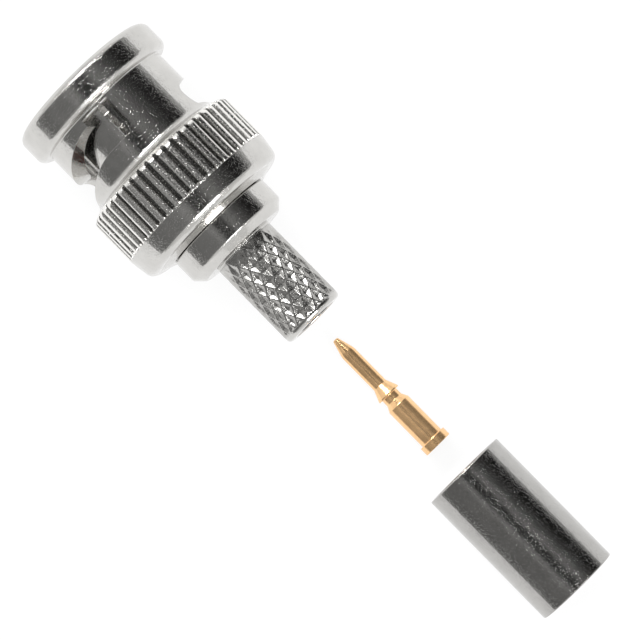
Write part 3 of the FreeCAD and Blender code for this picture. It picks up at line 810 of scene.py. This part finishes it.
# The nut behind its ribs and inside
BAND_LENGTH = 2.25 * MM
BAND_DROP = 0.34 * MM
BAND_ROUND = 0.85 * MM
REAR_FACE_RADIUS = 6.3 * MM
LIP_CHAMFER = 0.35 * MM
LIP_LENGTH = 1.2 * MM
LIP_RADIUS = 5.3 * MM
LIP_BORE = 4.56 * MM
CHAMBER_FRONT = 10.4 * MM
CHAMBER_RADIUS = 6.3 * MM
MOUTH_CHAMFER = 0.35 * MM

# The ribs: where on the ring's front slope they start, and how they are rounded
RIB_START = 0.5
RIB_CROWN = 0.16 * MM
RIB_END_ROUND = 0.32 * MM
RING_FRONT_ROUND = 0.6 * MM
RING_ROUND_STEPS = 8
LAND_STEPS = 4
GROOVE_STEPS = 12
GROOVE_STEEPNESS = 1.7
TILE_WALL = 0.15 * MM
TILE_INSET = 0.05 * MM


def slope_point(nut, share):
    """A point on the straight slope from the sleeve up to the ring, from 0 at its foot to 1 at its top."""
    along = nut.ring_front - nut.ring_slope * (1 - share)
    return along, nut.sleeve_radius + (nut.ring_radius - nut.sleeve_radius) * share


def nut_outline(nut):
    """The nut's outline from its nose, with a plain drum where the ribs go."""
    band_front = nut.ring_front + nut.rib_length
    band_rear = band_front + BAND_LENGTH
    nut_end = band_rear + LIP_CHAMFER
    lip_front = nut_end - LIP_LENGTH
    foot = nut.ring_front - nut.ring_slope
    drum_front, drum = slope_point(nut, RIB_START)
    return [
        (0.0, nut.flange_radius, nut.flange_round),
        (nut.flange_width, nut.flange_radius, nut.flange_round),
        (nut.flange_width, nut.sleeve_radius, 0.1 * MM),
        (foot, nut.sleeve_radius, 0.75 * MM),
        (drum_front, drum, 0.0),
        (band_front, drum, 0.0),
        (band_front, nut.ring_radius, 0.0),
        (band_rear, nut.ring_radius - BAND_DROP, BAND_ROUND),
        (band_rear, REAR_FACE_RADIUS, 0.1 * MM),
        (nut_end, LIP_RADIUS, 0.08 * MM),
        (nut_end, LIP_BORE, 0.05 * MM),
        (lip_front, LIP_BORE, 0.03 * MM),
        (lip_front, CHAMBER_RADIUS, 0.0),
        (CHAMBER_FRONT, CHAMBER_RADIUS, 0.0),
        (CHAMBER_FRONT, nut.bore_radius, 0.05 * MM),
        (MOUTH_CHAMFER, nut.bore_radius, 0.06 * MM),
        (0.0, nut.bore_radius + MOUTH_CHAMFER, 0.06 * MM),
    ]


def rib_tile(nut):
    """One groove with half a rib on each side of it, as a strip that closes round its section.

    The strip starts part of the way up the ring's front slope and follows its round.
    """
    start, foot = slope_point(nut, RIB_START)
    corners = [(start, foot, 0.0), (nut.ring_front, nut.ring_radius, RING_FRONT_ROUND),
               (nut.ring_front + nut.rib_length, nut.ring_radius, 0.0)]
    front = [chord[0] for chord in outline_chords(corners, RING_ROUND_STEPS)][:RING_ROUND_STEPS + 2]
    front_rounded = front[-1].x
    band_front = nut.ring_front + nut.rib_length
    rear = band_front - RIB_END_ROUND
    stations = [(point.x, point.y) for point in front]
    stations += [(front_rounded + (rear - front_rounded) * step / 4, nut.ring_radius) for step in range(1, 4)]
    stations += [(rear + RIB_END_ROUND * math.sin(math.pi / 2 * step / 8), nut.ring_radius) for step in range(9)]
    pitch = 2 * math.pi / nut.rib_count
    half_pitch = pitch / 2 * nut.ring_radius

    def top(along, outline_radius, share):
        """Height of the surface at a share from the groove's middle, -1 to 1."""
        open_share = 1.0 if along < rear else math.sqrt(max(0.0, 1 - ((along - rear) / RIB_END_ROUND) ** 2))
        distance = abs(share) * half_pitch
        crown = RIB_CROWN * ((half_pitch - distance) / half_pitch) ** 2 * open_share
        inside = max(0.0, 1 - distance / max(nut.groove_width / 2 * open_share, TINY))
        groove = nut.groove_depth * min(1.0, inside * GROOVE_STEEPNESS)
        return min(outline_radius, nut.ring_radius - crown - groove)

    shape = bmesh.new()
    columns = []
    half = nut.groove_width / 2 / half_pitch
    shares = [-1 + (1 - half) * step / LAND_STEPS for step in range(LAND_STEPS)]
    shares += [-half + 2 * half * step / GROOVE_STEPS for step in range(GROOVE_STEPS + 1)]
    shares += [half + (1 - half) * step / LAND_STEPS for step in range(1, LAND_STEPS + 1)]
    wall = foot - TILE_WALL
    for share in shares:
        turn = share * pitch / 2
        profile = [(start + TILE_INSET, wall)]
        profile += [(along, top(along, radius, share)) for along, radius in stations]
        profile += [(band_front, wall)]
        columns.append([shape.verts.new((along, radius * math.sin(turn), radius * math.cos(turn)))
                        for along, radius in profile])
    for column, following in zip(columns, columns[1:]):
        count = len(column)
        for index in range(count):
            after = (index + 1) % count
            shape.faces.new((column[index], column[after], following[after], following[index]))
    mesh = bpy.data.meshes.new("rib_tile")
    shape.to_mesh(mesh)
    shape.free()
    return mesh


class PLUG_OT_coupling_nut(bpy.types.Operator):
    """Build the bayonet coupling nut with its windows and grip ribs"""

    bl_idname = "plug.coupling_nut"
    bl_label = "Coupling Nut"

    def execute(self, context):
        nut = context.scene.plug_nut
        finish = bpy.data.materials["nickel_turned"]
        chords = outline_chords(nut_outline(nut), RING_ROUND_STEPS)
        blank = turned_mesh("coupling_nut_blank", chords)
        mesh = cut_mesh("nut_shell", blank, bayonet_cutters(nut))
        shade(mesh, chords)
        add_piece("nut_shell", mesh, plug_place(0.0), finish, "nut", ["coupling_nut"])
        tile = bpy.data.objects.new("rib_tile", rib_tile(nut))
        context.scene.collection.objects.link(tile)
        ribbed = bpy.data.materials["nickel_ribbed"]
        ribs = ring_tree().bake("grip_ribs", Shape=tile, Count=nut.rib_count, Finish=ribbed)
        bpy.data.objects.remove(tile)
        shade(ribs, sharp_degrees=40)
        add_piece("grip_ribs", ribs, plug_place(0.0), ribbed, "nut")
        return {"FINISHED"}


# Distances from the plug's nose and radii, in millimetres, of what is inside the nut and behind it
CONTACT_FRONT = 2.9
CONTACT_RADIUS = 4.15
CONTACT_BORE = 3.45
GASKET_FRONT = 11.75
GASKET_RADIUS = 5.6
COLLAR_FRONT = 12.65
COLLAR_REAR = 13.4
COLLAR_RADIUS = 5.9
TAIL_REAR = 15.4
TAIL_RADIUS = 3.6
TAIL_BORE = 2.95
INSULATOR_FRONT = 7.4
BARB_SEAT = 14.55
PIN_BORE = 1.13
BUSH_BORE = 1.37
BUSH_CONE = 17.05
BUSH_REAR = 17.55
BUSH_MOUTH_RADIUS = 2.05
JOURNAL_RADIUS = 4.5
FLANGE_FRONT = 16.55
FLANGE_REAR = 18.6
CHAMFER_REAR = 19.4
STEM_FRONT = 19.45
STEM_REAR = 28.0
KNURL_FRONT = 19.62
KNURL_REAR = 27.5
KNURL_PITCH = 1.795
KNURL_FLOOR_GAP = 0.06
KNURL_LAP = 0.03

SLOT_TURN = math.radians(5.0)
SLOT_LENGTH = 7.0 * MM
SLOT_WIDTH = 0.5 * MM
SLOT_SPAN = 10.0 * MM
SLOT_MIDDLE = 5.4 * MM


class PLUG_OT_outer_contact(bpy.types.Operator):
    """Build the slotted outer contact with its gasket"""

    bl_idname = "plug.outer_contact"
    bl_label = "Outer Contact"

    def execute(self, context):
        outline = [
            (CONTACT_FRONT, CONTACT_RADIUS, 0.2), (COLLAR_FRONT, CONTACT_RADIUS, 0.1),
            (COLLAR_FRONT, COLLAR_RADIUS, 0.06), (COLLAR_REAR, COLLAR_RADIUS, 0.06),
            (COLLAR_REAR, TAIL_RADIUS, 0.0), (TAIL_REAR, TAIL_RADIUS, 0.05),
            (TAIL_REAR, TAIL_BORE, 0.0), (COLLAR_REAR, TAIL_BORE, 0.0),
            (COLLAR_REAR, CONTACT_BORE, 0.0), (CONTACT_FRONT, CONTACT_BORE, 0.1),
        ]
        chords = outline_chords(in_metres(outline))
        blank = turned_mesh("outer_contact_blank", chords)
        slots = []
        for turn in (SLOT_TURN, SLOT_TURN + math.pi / 2):
            slot = bmesh.new()
            bmesh.ops.create_cube(slot, size=1.0)
            cutter = bpy.data.meshes.new("slot_cutter")
            slot.to_mesh(cutter)
            slot.free()
            size = Matrix.Diagonal((SLOT_LENGTH, SLOT_WIDTH, SLOT_SPAN, 1.0))
            cutter.transform(Matrix.Rotation(turn, 4, "X") @ Matrix.Translation((SLOT_MIDDLE, 0, 0)) @ size)
            slots.append(cutter)
        mesh = cut_mesh("slotted_contact", blank, slots)
        shade(mesh, chords)
        add_piece("slotted_contact", mesh, plug_place(0.0), bpy.data.materials["nickel_turned"], "root",
                  ["outer_contact"])
        ring = [
            (GASKET_FRONT, GASKET_RADIUS, 0.25), (COLLAR_FRONT, GASKET_RADIUS, 0.25),
            (COLLAR_FRONT, CONTACT_RADIUS, 0.1), (GASKET_FRONT, CONTACT_RADIUS, 0.1),
        ]
        turned_piece("jack_gasket", ring, plug_place(0.0), bpy.data.materials["silicone_rubber"], "root",
                     ["gasket"])
        return {"FINISHED"}


class PLUG_OT_body(bpy.types.Operator):
    """Build the plug body and the knurl of its crimp stem"""

    bl_idname = "plug.body"
    bl_label = "Plug Body"

    def execute(self, context):
        body = context.scene.plug_body
        finish = bpy.data.materials["nickel_turned"]
        flange = body.flange_radius / MM
        stem = body.stem_radius / MM
        bore = body.bore_radius / MM
        floor = stem - body.pit_depth / MM - KNURL_FLOOR_GAP
        outline = [
            (COLLAR_REAR, JOURNAL_RADIUS, 0.05), (FLANGE_FRONT, JOURNAL_RADIUS, 0.05),
            (FLANGE_FRONT, flange, 0.12), (FLANGE_REAR, flange, 0.45),
            (CHAMFER_REAR, body.chamfer_radius / MM, 0.3), (STEM_FRONT, stem, 0.08),
            (KNURL_FRONT, stem, 0.0), (KNURL_FRONT, floor, 0.0), (KNURL_REAR, floor, 0.0),
            (KNURL_REAR, stem, 0.0), (STEM_REAR, stem, 0.4), (STEM_REAR, bore, 0.15),
            (BUSH_REAR, bore, 0.05), (BUSH_REAR, TAIL_RADIUS, 0.0), (COLLAR_REAR, TAIL_RADIUS, 0.05),
        ]
        turned_piece("body_shell", outline, plug_place(0.0), finish, "root", ["plug_body"])
        span = (KNURL_REAR - KNURL_FRONT) * MM
        knurled = bpy.data.materials["nickel_knurled"]
        knurl = knurl_tree(body.pits_around).bake("stem_knurl", **{
            "Radius": body.stem_radius, "Length": span, "Depth": body.pit_depth,
            "Pits around": body.pits_around, "Pit rows": span / (KNURL_PITCH * MM), "Finish": knurled,
        })
        close_sleeve(knurl, (floor - KNURL_LAP) * MM)
        shade(knurl, sharp_degrees=50)
        add_piece("stem_knurl", knurl, plug_place(KNURL_FRONT * MM), knurled, "root")
        return {"FINISHED"}


class PLUG_OT_insulators(bpy.types.Operator):
    """Build the two insulators inside the plug"""

    bl_idname = "plug.insulators"
    bl_label = "Insulators"

    def execute(self, context):
        finish = bpy.data.materials["white_insulator"]
        front = [
            (INSULATOR_FRONT, CONTACT_BORE, 0.12), (COLLAR_REAR, CONTACT_BORE, 0.0),
            (COLLAR_REAR, TAIL_BORE, 0.0), (TAIL_REAR, TAIL_BORE, 0.05),
            (TAIL_REAR, BUSH_BORE, 0.05), (BARB_SEAT, BUSH_BORE, 0.0),
            (BARB_SEAT, PIN_BORE, 0.0), (INSULATOR_FRONT, PIN_BORE, 0.15),
        ]
        turned_piece("pin_insulator", front, plug_place(0.0), finish, "root",
                     ["front_insulator"])
        rear = [
            (TAIL_REAR, TAIL_RADIUS, 0.05), (BUSH_REAR, TAIL_RADIUS, 0.1),
            (BUSH_REAR, BUSH_MOUTH_RADIUS, 0.05), (BUSH_CONE, BUSH_BORE, 0.05), (TAIL_REAR, BUSH_BORE, 0.05),
        ]
        turned_piece("stem_bush", rear, plug_place(0.0), finish, "root", ["rear_insulator"])
        return {"FINISHED"}


# The wave springs: their thickness, their rings and their waves
WAVE_THICKNESS = 0.18 * MM
WAVE_BORE_RADIUS = 4.56 * MM
WAVE_OUTER_RADIUS = 6.05 * MM
WAVE_COUNT = 3
WAVE_STEPS = 144


def wave_mesh(name, height, phase):
    """A thin ring that waves along X as it goes round."""
    swing = (height - WAVE_THICKNESS) / 2
    lift = WAVE_THICKNESS / 2
    corners = [(WAVE_BORE_RADIUS, -lift), (WAVE_OUTER_RADIUS, -lift), (WAVE_OUTER_RADIUS, lift),
               (WAVE_BORE_RADIUS, lift)]
    shape = bmesh.new()
    sections = []
    for step in range(WAVE_STEPS):
        turn = 2 * math.pi * step / WAVE_STEPS
        middle = height / 2 + swing * math.sin(WAVE_COUNT * turn + phase)
        sections.append([shape.verts.new((middle + side, radius * math.sin(turn), radius * math.cos(turn)))
                         for radius, side in corners])
    for section, following in zip(sections, sections[1:] + sections[:1]):
        for side in range(4):
            after = (side + 1) % 4
            shape.faces.new((section[side], section[after], following[after], following[side]))
    bmesh.ops.recalc_face_normals(shape, faces=shape.faces)
    mesh = bpy.data.meshes.new(name)
    shape.to_mesh(mesh)
    shape.free()
    mesh.polygons.foreach_set("use_smooth", [True] * len(mesh.polygons))
    mesh.set_sharp_from_angle(angle=math.radians(40))
    return mesh


class PLUG_OT_washers(bpy.types.Operator):
    """Build the two wave springs and finish the flat washers"""

    bl_idname = "plug.washers"
    bl_label = "Washers"

    def execute(self, context):
        bronze = bpy.data.materials["spring_bronze"]
        for name in ("spacer_washer", "thrust_washer"):
            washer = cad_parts[name]
            washer.data.materials.clear()
            washer.data.materials.append(bronze)
        for end, phase in (("front", 0.0), ("rear", math.pi)):
            low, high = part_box("wave_washer_" + end)
            height = high.x - low.x
            spring = add_piece("wave_spring_" + end, wave_mesh("wave_spring_" + end, height, phase),
                               Vector((low.x, 0, PLUG_HEIGHT)), bronze, "root",
                               ("wave_washer_" + end,))
            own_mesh(spring)
        return {"FINISHED"}


# Distances from the pin's tip and radii, in millimetres
PIN_TIP_RADIUS = 0.25
PIN_TAPER_END = 1.55
PIN_SHAFT_RADIUS = 0.685
PIN_CONE_FRONT = 5.45
PIN_BARB_FRONT = 6.45
PIN_BARB_REAR = 6.57
PIN_NECK_REAR = 7.19
PIN_NECK_RADIUS = 0.81
PIN_BARREL_FRONT = 7.74
PIN_BARREL_RADIUS = 1.1
PIN_FLANGE_FRONT = 11.75
PIN_FLANGE_RADIUS = 1.34
PIN_REAR = 12.55
WIRE_HOLE_TIP = 7.25
WIRE_HOLE_FRONT = 7.75
WIRE_HOLE_RADIUS = 0.5


class PLUG_OT_contact_pin(bpy.types.Operator):
    """Build the loose centre contact pin"""

    bl_idname = "plug.contact_pin"
    bl_label = "Contact Pin"

    def execute(self, context):
        outline = [
            (0.0, 0.0, 0.0), (0.0, PIN_TIP_RADIUS, 0.14), (PIN_TAPER_END, PIN_SHAFT_RADIUS, 1.6),
            (PIN_CONE_FRONT, PIN_SHAFT_RADIUS, 0.3), (PIN_BARB_FRONT, PIN_BARREL_RADIUS, 0.06),
            (PIN_BARB_REAR, PIN_BARREL_RADIUS, 0.03), (PIN_BARB_REAR, PIN_NECK_RADIUS, 0.05),
            (PIN_NECK_REAR, PIN_NECK_RADIUS, 0.12), (PIN_BARREL_FRONT, PIN_BARREL_RADIUS, 0.15),
            (PIN_FLANGE_FRONT, PIN_BARREL_RADIUS, 0.06), (PIN_FLANGE_FRONT, PIN_FLANGE_RADIUS, 0.07),
            (PIN_REAR, PIN_FLANGE_RADIUS, 0.08), (PIN_REAR, WIRE_HOLE_RADIUS, 0.1),
            (WIRE_HOLE_FRONT, WIRE_HOLE_RADIUS, 0.0), (WIRE_HOLE_TIP, 0.0, 0.0),
        ]
        turned_piece("centre_pin", outline, Vector((PIN_BOX[0].x, 0, PIN_HEIGHT)),
                     bpy.data.materials["gold_plate"], "root", ["contact_pin"])
        return {"FINISHED"}


# The ferrule in millimetres
FERRULE_LENGTH = 13.65
FERRULE_RADIUS = 3.87
FERRULE_BORE = 3.42


class PLUG_OT_ferrule(bpy.types.Operator):
    """Build the loose crimp ferrule"""

    bl_idname = "plug.ferrule"
    bl_label = "Crimp Ferrule"

    def execute(self, context):
        outline = [
            (0.0, FERRULE_RADIUS, 0.12), (FERRULE_LENGTH, FERRULE_RADIUS, 0.12),
            (FERRULE_LENGTH, FERRULE_BORE, 0.1), (0.0, FERRULE_BORE, 0.1),
        ]
        turned_piece("ferrule_tube", outline, Vector((FERRULE_BOX[0].x, 0, FERRULE_HEIGHT)),
                     bpy.data.materials["nickel_drawn"], "root", ["crimp_ferrule"])
        return {"FINISHED"}


class PLUG_OT_finishes(bpy.types.Operator):
    """Make the finishes of all pieces"""

    bl_idname = "plug.finishes"
    bl_label = "Finishes"

    def execute(self, context):
        colours = context.scene.plug_finishes
        nickel = tuple(colours.nickel)
        nickel_plate("nickel_turned", nickel, streaks=(1.0, 0.25, 0.25), roughness=(0.07, 0.15),
                     speckle_height=0.0068 * MM)
        # Lit and shaded copies of the nickel: the ribbed copy is painted lighter, at 1.4 times, to make up for
        # the painted shade in its grooves; the knurled copy is painted darker, at 0.85 times, as painted shade
        # besides the painted shade in its pits.
        nickel_plate("nickel_ribbed", shaded(nickel, 1.4), streaks=(0.3, 1.0, 1.0), roughness=(0.2, 0.32),
                     speckle_height=0.007 * MM, painted_groove_shade=True)
        nickel_plate("nickel_knurled", shaded(nickel, 0.85), streaks=(1.0, 1.0, 1.0), roughness=(0.22, 0.34),
                     speckle_height=0.006 * MM, painted_groove_shade=True)
        nickel_plate("nickel_drawn", shaded(nickel, 0.74), streaks=(0.08, 1.0, 1.0), roughness=(0.07, 0.17),
                     speckle_height=0.0088 * MM)
        gold_plate(tuple(colours.gold))
        spring_bronze(tuple(colours.bronze))
        silicone_rubber(tuple(colours.silicone))
        white_insulator(tuple(colours.insulator))
        return {"FINISHED"}


# Stage: ground, studio light and camera

# Levels of light round the row, as (degrees from the top, level)
STUDIO_BANDS = [
    (-180.0, 0.95), (-118.0, 0.85), (-106.0, 0.68), (-98.0, 0.45), (-90.0, 0.27), (-84.0, 0.18), (-74.0, 0.17),
    (-56.0, 0.20), (-44.0, 0.19), (-32.0, 0.20), (-22.0, 0.30), (-15.0, 0.20), (-9.0, 0.05), (3.0, 0.04),
    (8.0, 0.10), (14.0, 0.21), (24.0, 0.19), (35.0, 0.10), (47.0, 0.055), (60.0, 0.02), (74.0, 0.012),
    (80.0, 0.08), (86.0, 0.30), (92.0, 0.50), (100.0, 0.80), (108.0, 0.88), (180.0, 0.95),
]


def studio_world():
    """White to the camera. Metal sees bands of light and dark that run along the row."""
    world = bpy.data.worlds.new("studio")
    bpy.context.scene.world = world
    world.use_nodes = True
    world.node_tree.nodes.clear()
    nodes = Nodes(world.node_tree)
    split = nodes.node("ShaderNodeSeparateXYZ")
    nodes.connect(nodes.node("ShaderNodeTexCoord").outputs["Generated"], split.inputs[0])
    turn = nodes.math("ARCTAN2", split.outputs["Y"], split.outputs["Z"])
    share = nodes.math("ADD", nodes.math("DIVIDE", turn, 2 * math.pi), 0.5)
    ramp = nodes.node("ShaderNodeValToRGB")
    nodes.connect(share, ramp.inputs[0])
    stops = ramp.color_ramp.elements
    while len(stops) > 1:
        stops.remove(stops[-1])
    for index, (degrees, level) in enumerate(STUDIO_BANDS):
        place = (degrees + 180) / 360
        stop = stops[0] if index == 0 else stops.new(place)
        stop.position = place
        stop.color = (level, level, level * 0.99, 1)
    ends = nodes.node("ShaderNodeMapRange", interpolation_type="SMOOTHSTEP")
    nodes.connect(nodes.math("ABSOLUTE", split.outputs["X"]), ends.inputs["Value"])
    ends.inputs["From Min"].default_value = 0.3
    ends.inputs["From Max"].default_value = 0.68
    bands = nodes.node("ShaderNodeMix", data_type="RGBA")
    nodes.connect(ends.outputs[0], bands.inputs["Factor"])
    nodes.connect(ramp.outputs[0], bands.inputs["A"])
    bands.inputs["B"].default_value = (0.8, 0.8, 0.79, 1)
    studio = nodes.node("ShaderNodeBackground")
    nodes.connect(bands.outputs["Result"], studio.inputs["Color"])
    white = nodes.node("ShaderNodeBackground")
    white.inputs["Color"].default_value = (1, 1, 1, 1)
    seen = nodes.node("ShaderNodeMixShader")
    nodes.connect(nodes.node("ShaderNodeLightPath").outputs["Is Camera Ray"], seen.inputs[0])
    nodes.connect(studio.outputs[0], seen.inputs[1])
    nodes.connect(white.outputs[0], seen.inputs[2])
    nodes.connect(seen.outputs[0], nodes.node("ShaderNodeOutputWorld").inputs["Surface"])


def add_lamp(name, place, target, size, power, glossy=True):
    """An area lamp aimed at a point, its longer side across the row."""
    light = bpy.data.lights.new(name, "AREA")
    light.shape = "RECTANGLE"
    light.size, light.size_y = size
    light.energy = power
    lamp = bpy.data.objects.new(name, light)
    lamp.location = place
    backward = (Vector(place) - Vector(target)).normalized()
    across = Vector((0, 1, 0))
    right = across.cross(backward).normalized()
    across = backward.cross(right)
    lamp.rotation_euler = Matrix((right, across, backward)).transposed().to_euler()
    lamp.visible_glossy = glossy
    lamp.visible_camera = False
    bpy.context.scene.collection.objects.link(lamp)


GROUND_HALF = 0.4
GROUND_GLOW = 0.9


def add_ground(base):
    """A pale plane that shows white but keeps the pieces' soft shadow."""
    mesh = bpy.data.meshes.new("ground")
    corners = [(GROUND_HALF * x, GROUND_HALF * y, 0) for x, y in ((-1, -1), (1, -1), (1, 1), (-1, 1))]
    mesh.from_pydata(corners, [], [(0, 1, 2, 3)])
    material = bpy.data.materials.new("ground")
    material.use_nodes = True
    material.node_tree.nodes.clear()
    nodes = Nodes(material.node_tree)
    matte = nodes.node("ShaderNodeBsdfDiffuse")
    matte.inputs["Color"].default_value = (*base, 1)
    glow = nodes.node("ShaderNodeEmission")
    glow.inputs["Color"].default_value = (1, 1, 1, 1)
    path = nodes.node("ShaderNodeLightPath").outputs
    seen = nodes.math("MAXIMUM", path["Is Camera Ray"], path["Is Glossy Ray"])
    seen = nodes.math("MAXIMUM", seen, path["Is Transmission Ray"])
    mix = nodes.node("ShaderNodeMixShader")
    nodes.connect(nodes.math("MULTIPLY", seen, GROUND_GLOW), mix.inputs[0])
    nodes.connect(matte.outputs[0], mix.inputs[1])
    nodes.connect(glow.outputs[0], mix.inputs[2])
    nodes.connect(mix.outputs[0], nodes.node("ShaderNodeOutputMaterial").inputs["Surface"])
    mesh.materials.append(material)
    ground = bpy.data.objects.new("ground", mesh)
    bpy.context.scene.collection.objects.link(ground)


CAMERA_PLACE = Vector((12.0, 0.0, 297.9)) * MM
CAMERA_TARGET = Vector((-1.349, 0.25, 7.64)) * MM
CAMERA_TURN = math.radians(45.53)
CAMERA_LENS = 195.9


def add_camera():
    """Looks down on the row, which runs from the upper left to the lower right of the picture."""
    camera = bpy.data.cameras.new("camera")
    camera.lens = CAMERA_LENS
    camera.sensor_width = 36.0
    camera.clip_start = 0.01
    holder = bpy.data.objects.new("camera", camera)
    bpy.context.scene.collection.objects.link(holder)
    up = Vector((-math.sin(CAMERA_TURN), math.cos(CAMERA_TURN), 0))
    backward = (CAMERA_PLACE - CAMERA_TARGET).normalized()
    right = up.cross(backward).normalized()
    up = backward.cross(right)
    axes = Matrix((right, up, backward)).transposed().to_4x4()
    holder.matrix_world = Matrix.Translation(CAMERA_PLACE) @ axes
    bpy.context.scene.camera = holder


class PLUG_OT_stage(bpy.types.Operator):
    """Build the ground, the studio light and the camera"""

    bl_idname = "plug.stage"
    bl_label = "Stage"

    def execute(self, context):
        context.scene.view_settings.view_transform = "Standard"
        studio_world()
        add_ground(tuple(context.scene.plug_finishes.ground))
        add_lamp("overhead", place=(0.0, 0.0, 0.6), target=(0.0, 0.0, 0.0), size=(0.5, 0.5), power=3.2,
                 glossy=False)
        add_lamp("strip_left", place=(-0.28, 0.05, 0.34), target=(-0.02, 0.0, 0.007), size=(0.05, 0.3), power=1.2)
        add_lamp("strip_right", place=(0.3, 0.02, 0.34), target=(0.0, 0.0, 0.007), size=(0.05, 0.3), power=0.8)
        add_camera()
        return {"FINISHED"}


class PLUG_PT_panel(bpy.types.Panel):
    """Buttons for the pieces of the plug"""

    bl_label = "Cable Plug"
    bl_idname = "PLUG_PT_panel"
    bl_space_type = "VIEW_3D"
    bl_region_type = "UI"
    bl_category = "Cable Plug"

    def draw(self, context):
        for operator in BUILD_ORDER:
            self.layout.operator(operator.bl_idname)
        for settings in (context.scene.plug_nut, context.scene.plug_body, context.scene.plug_finishes):
            column = self.layout.column()
            for name in settings.__annotations__:
                column.prop(settings, name)


SETTINGS = {"plug_nut": NutSettings, "plug_body": BodySettings, "plug_finishes": FinishSettings}
BUILD_ORDER = [
    PLUG_OT_finishes,
    PLUG_OT_coupling_nut,
    PLUG_OT_outer_contact,
    PLUG_OT_body,
    PLUG_OT_insulators,
    PLUG_OT_washers,
    PLUG_OT_contact_pin,
    PLUG_OT_ferrule,
    PLUG_OT_stage,
]


def register():
    for settings in SETTINGS.values():
        bpy.utils.register_class(settings)
    for name, settings in SETTINGS.items():
        setattr(bpy.types.Scene, name, PointerProperty(type=settings))
    for operator in BUILD_ORDER:
        bpy.utils.register_class(operator)
    bpy.utils.register_class(PLUG_PT_panel)


def unregister():
    bpy.utils.unregister_class(PLUG_PT_panel)
    for operator in reversed(BUILD_ORDER):
        bpy.utils.unregister_class(operator)
    for name, settings in SETTINGS.items():
        delattr(bpy.types.Scene, name)
        bpy.utils.unregister_class(settings)


def main():
    register()
    for operator in BUILD_ORDER:
        group, name = operator.bl_idname.split(".")
        getattr(getattr(bpy.ops, group), name)()


if __name__ == "__main__":
    main()
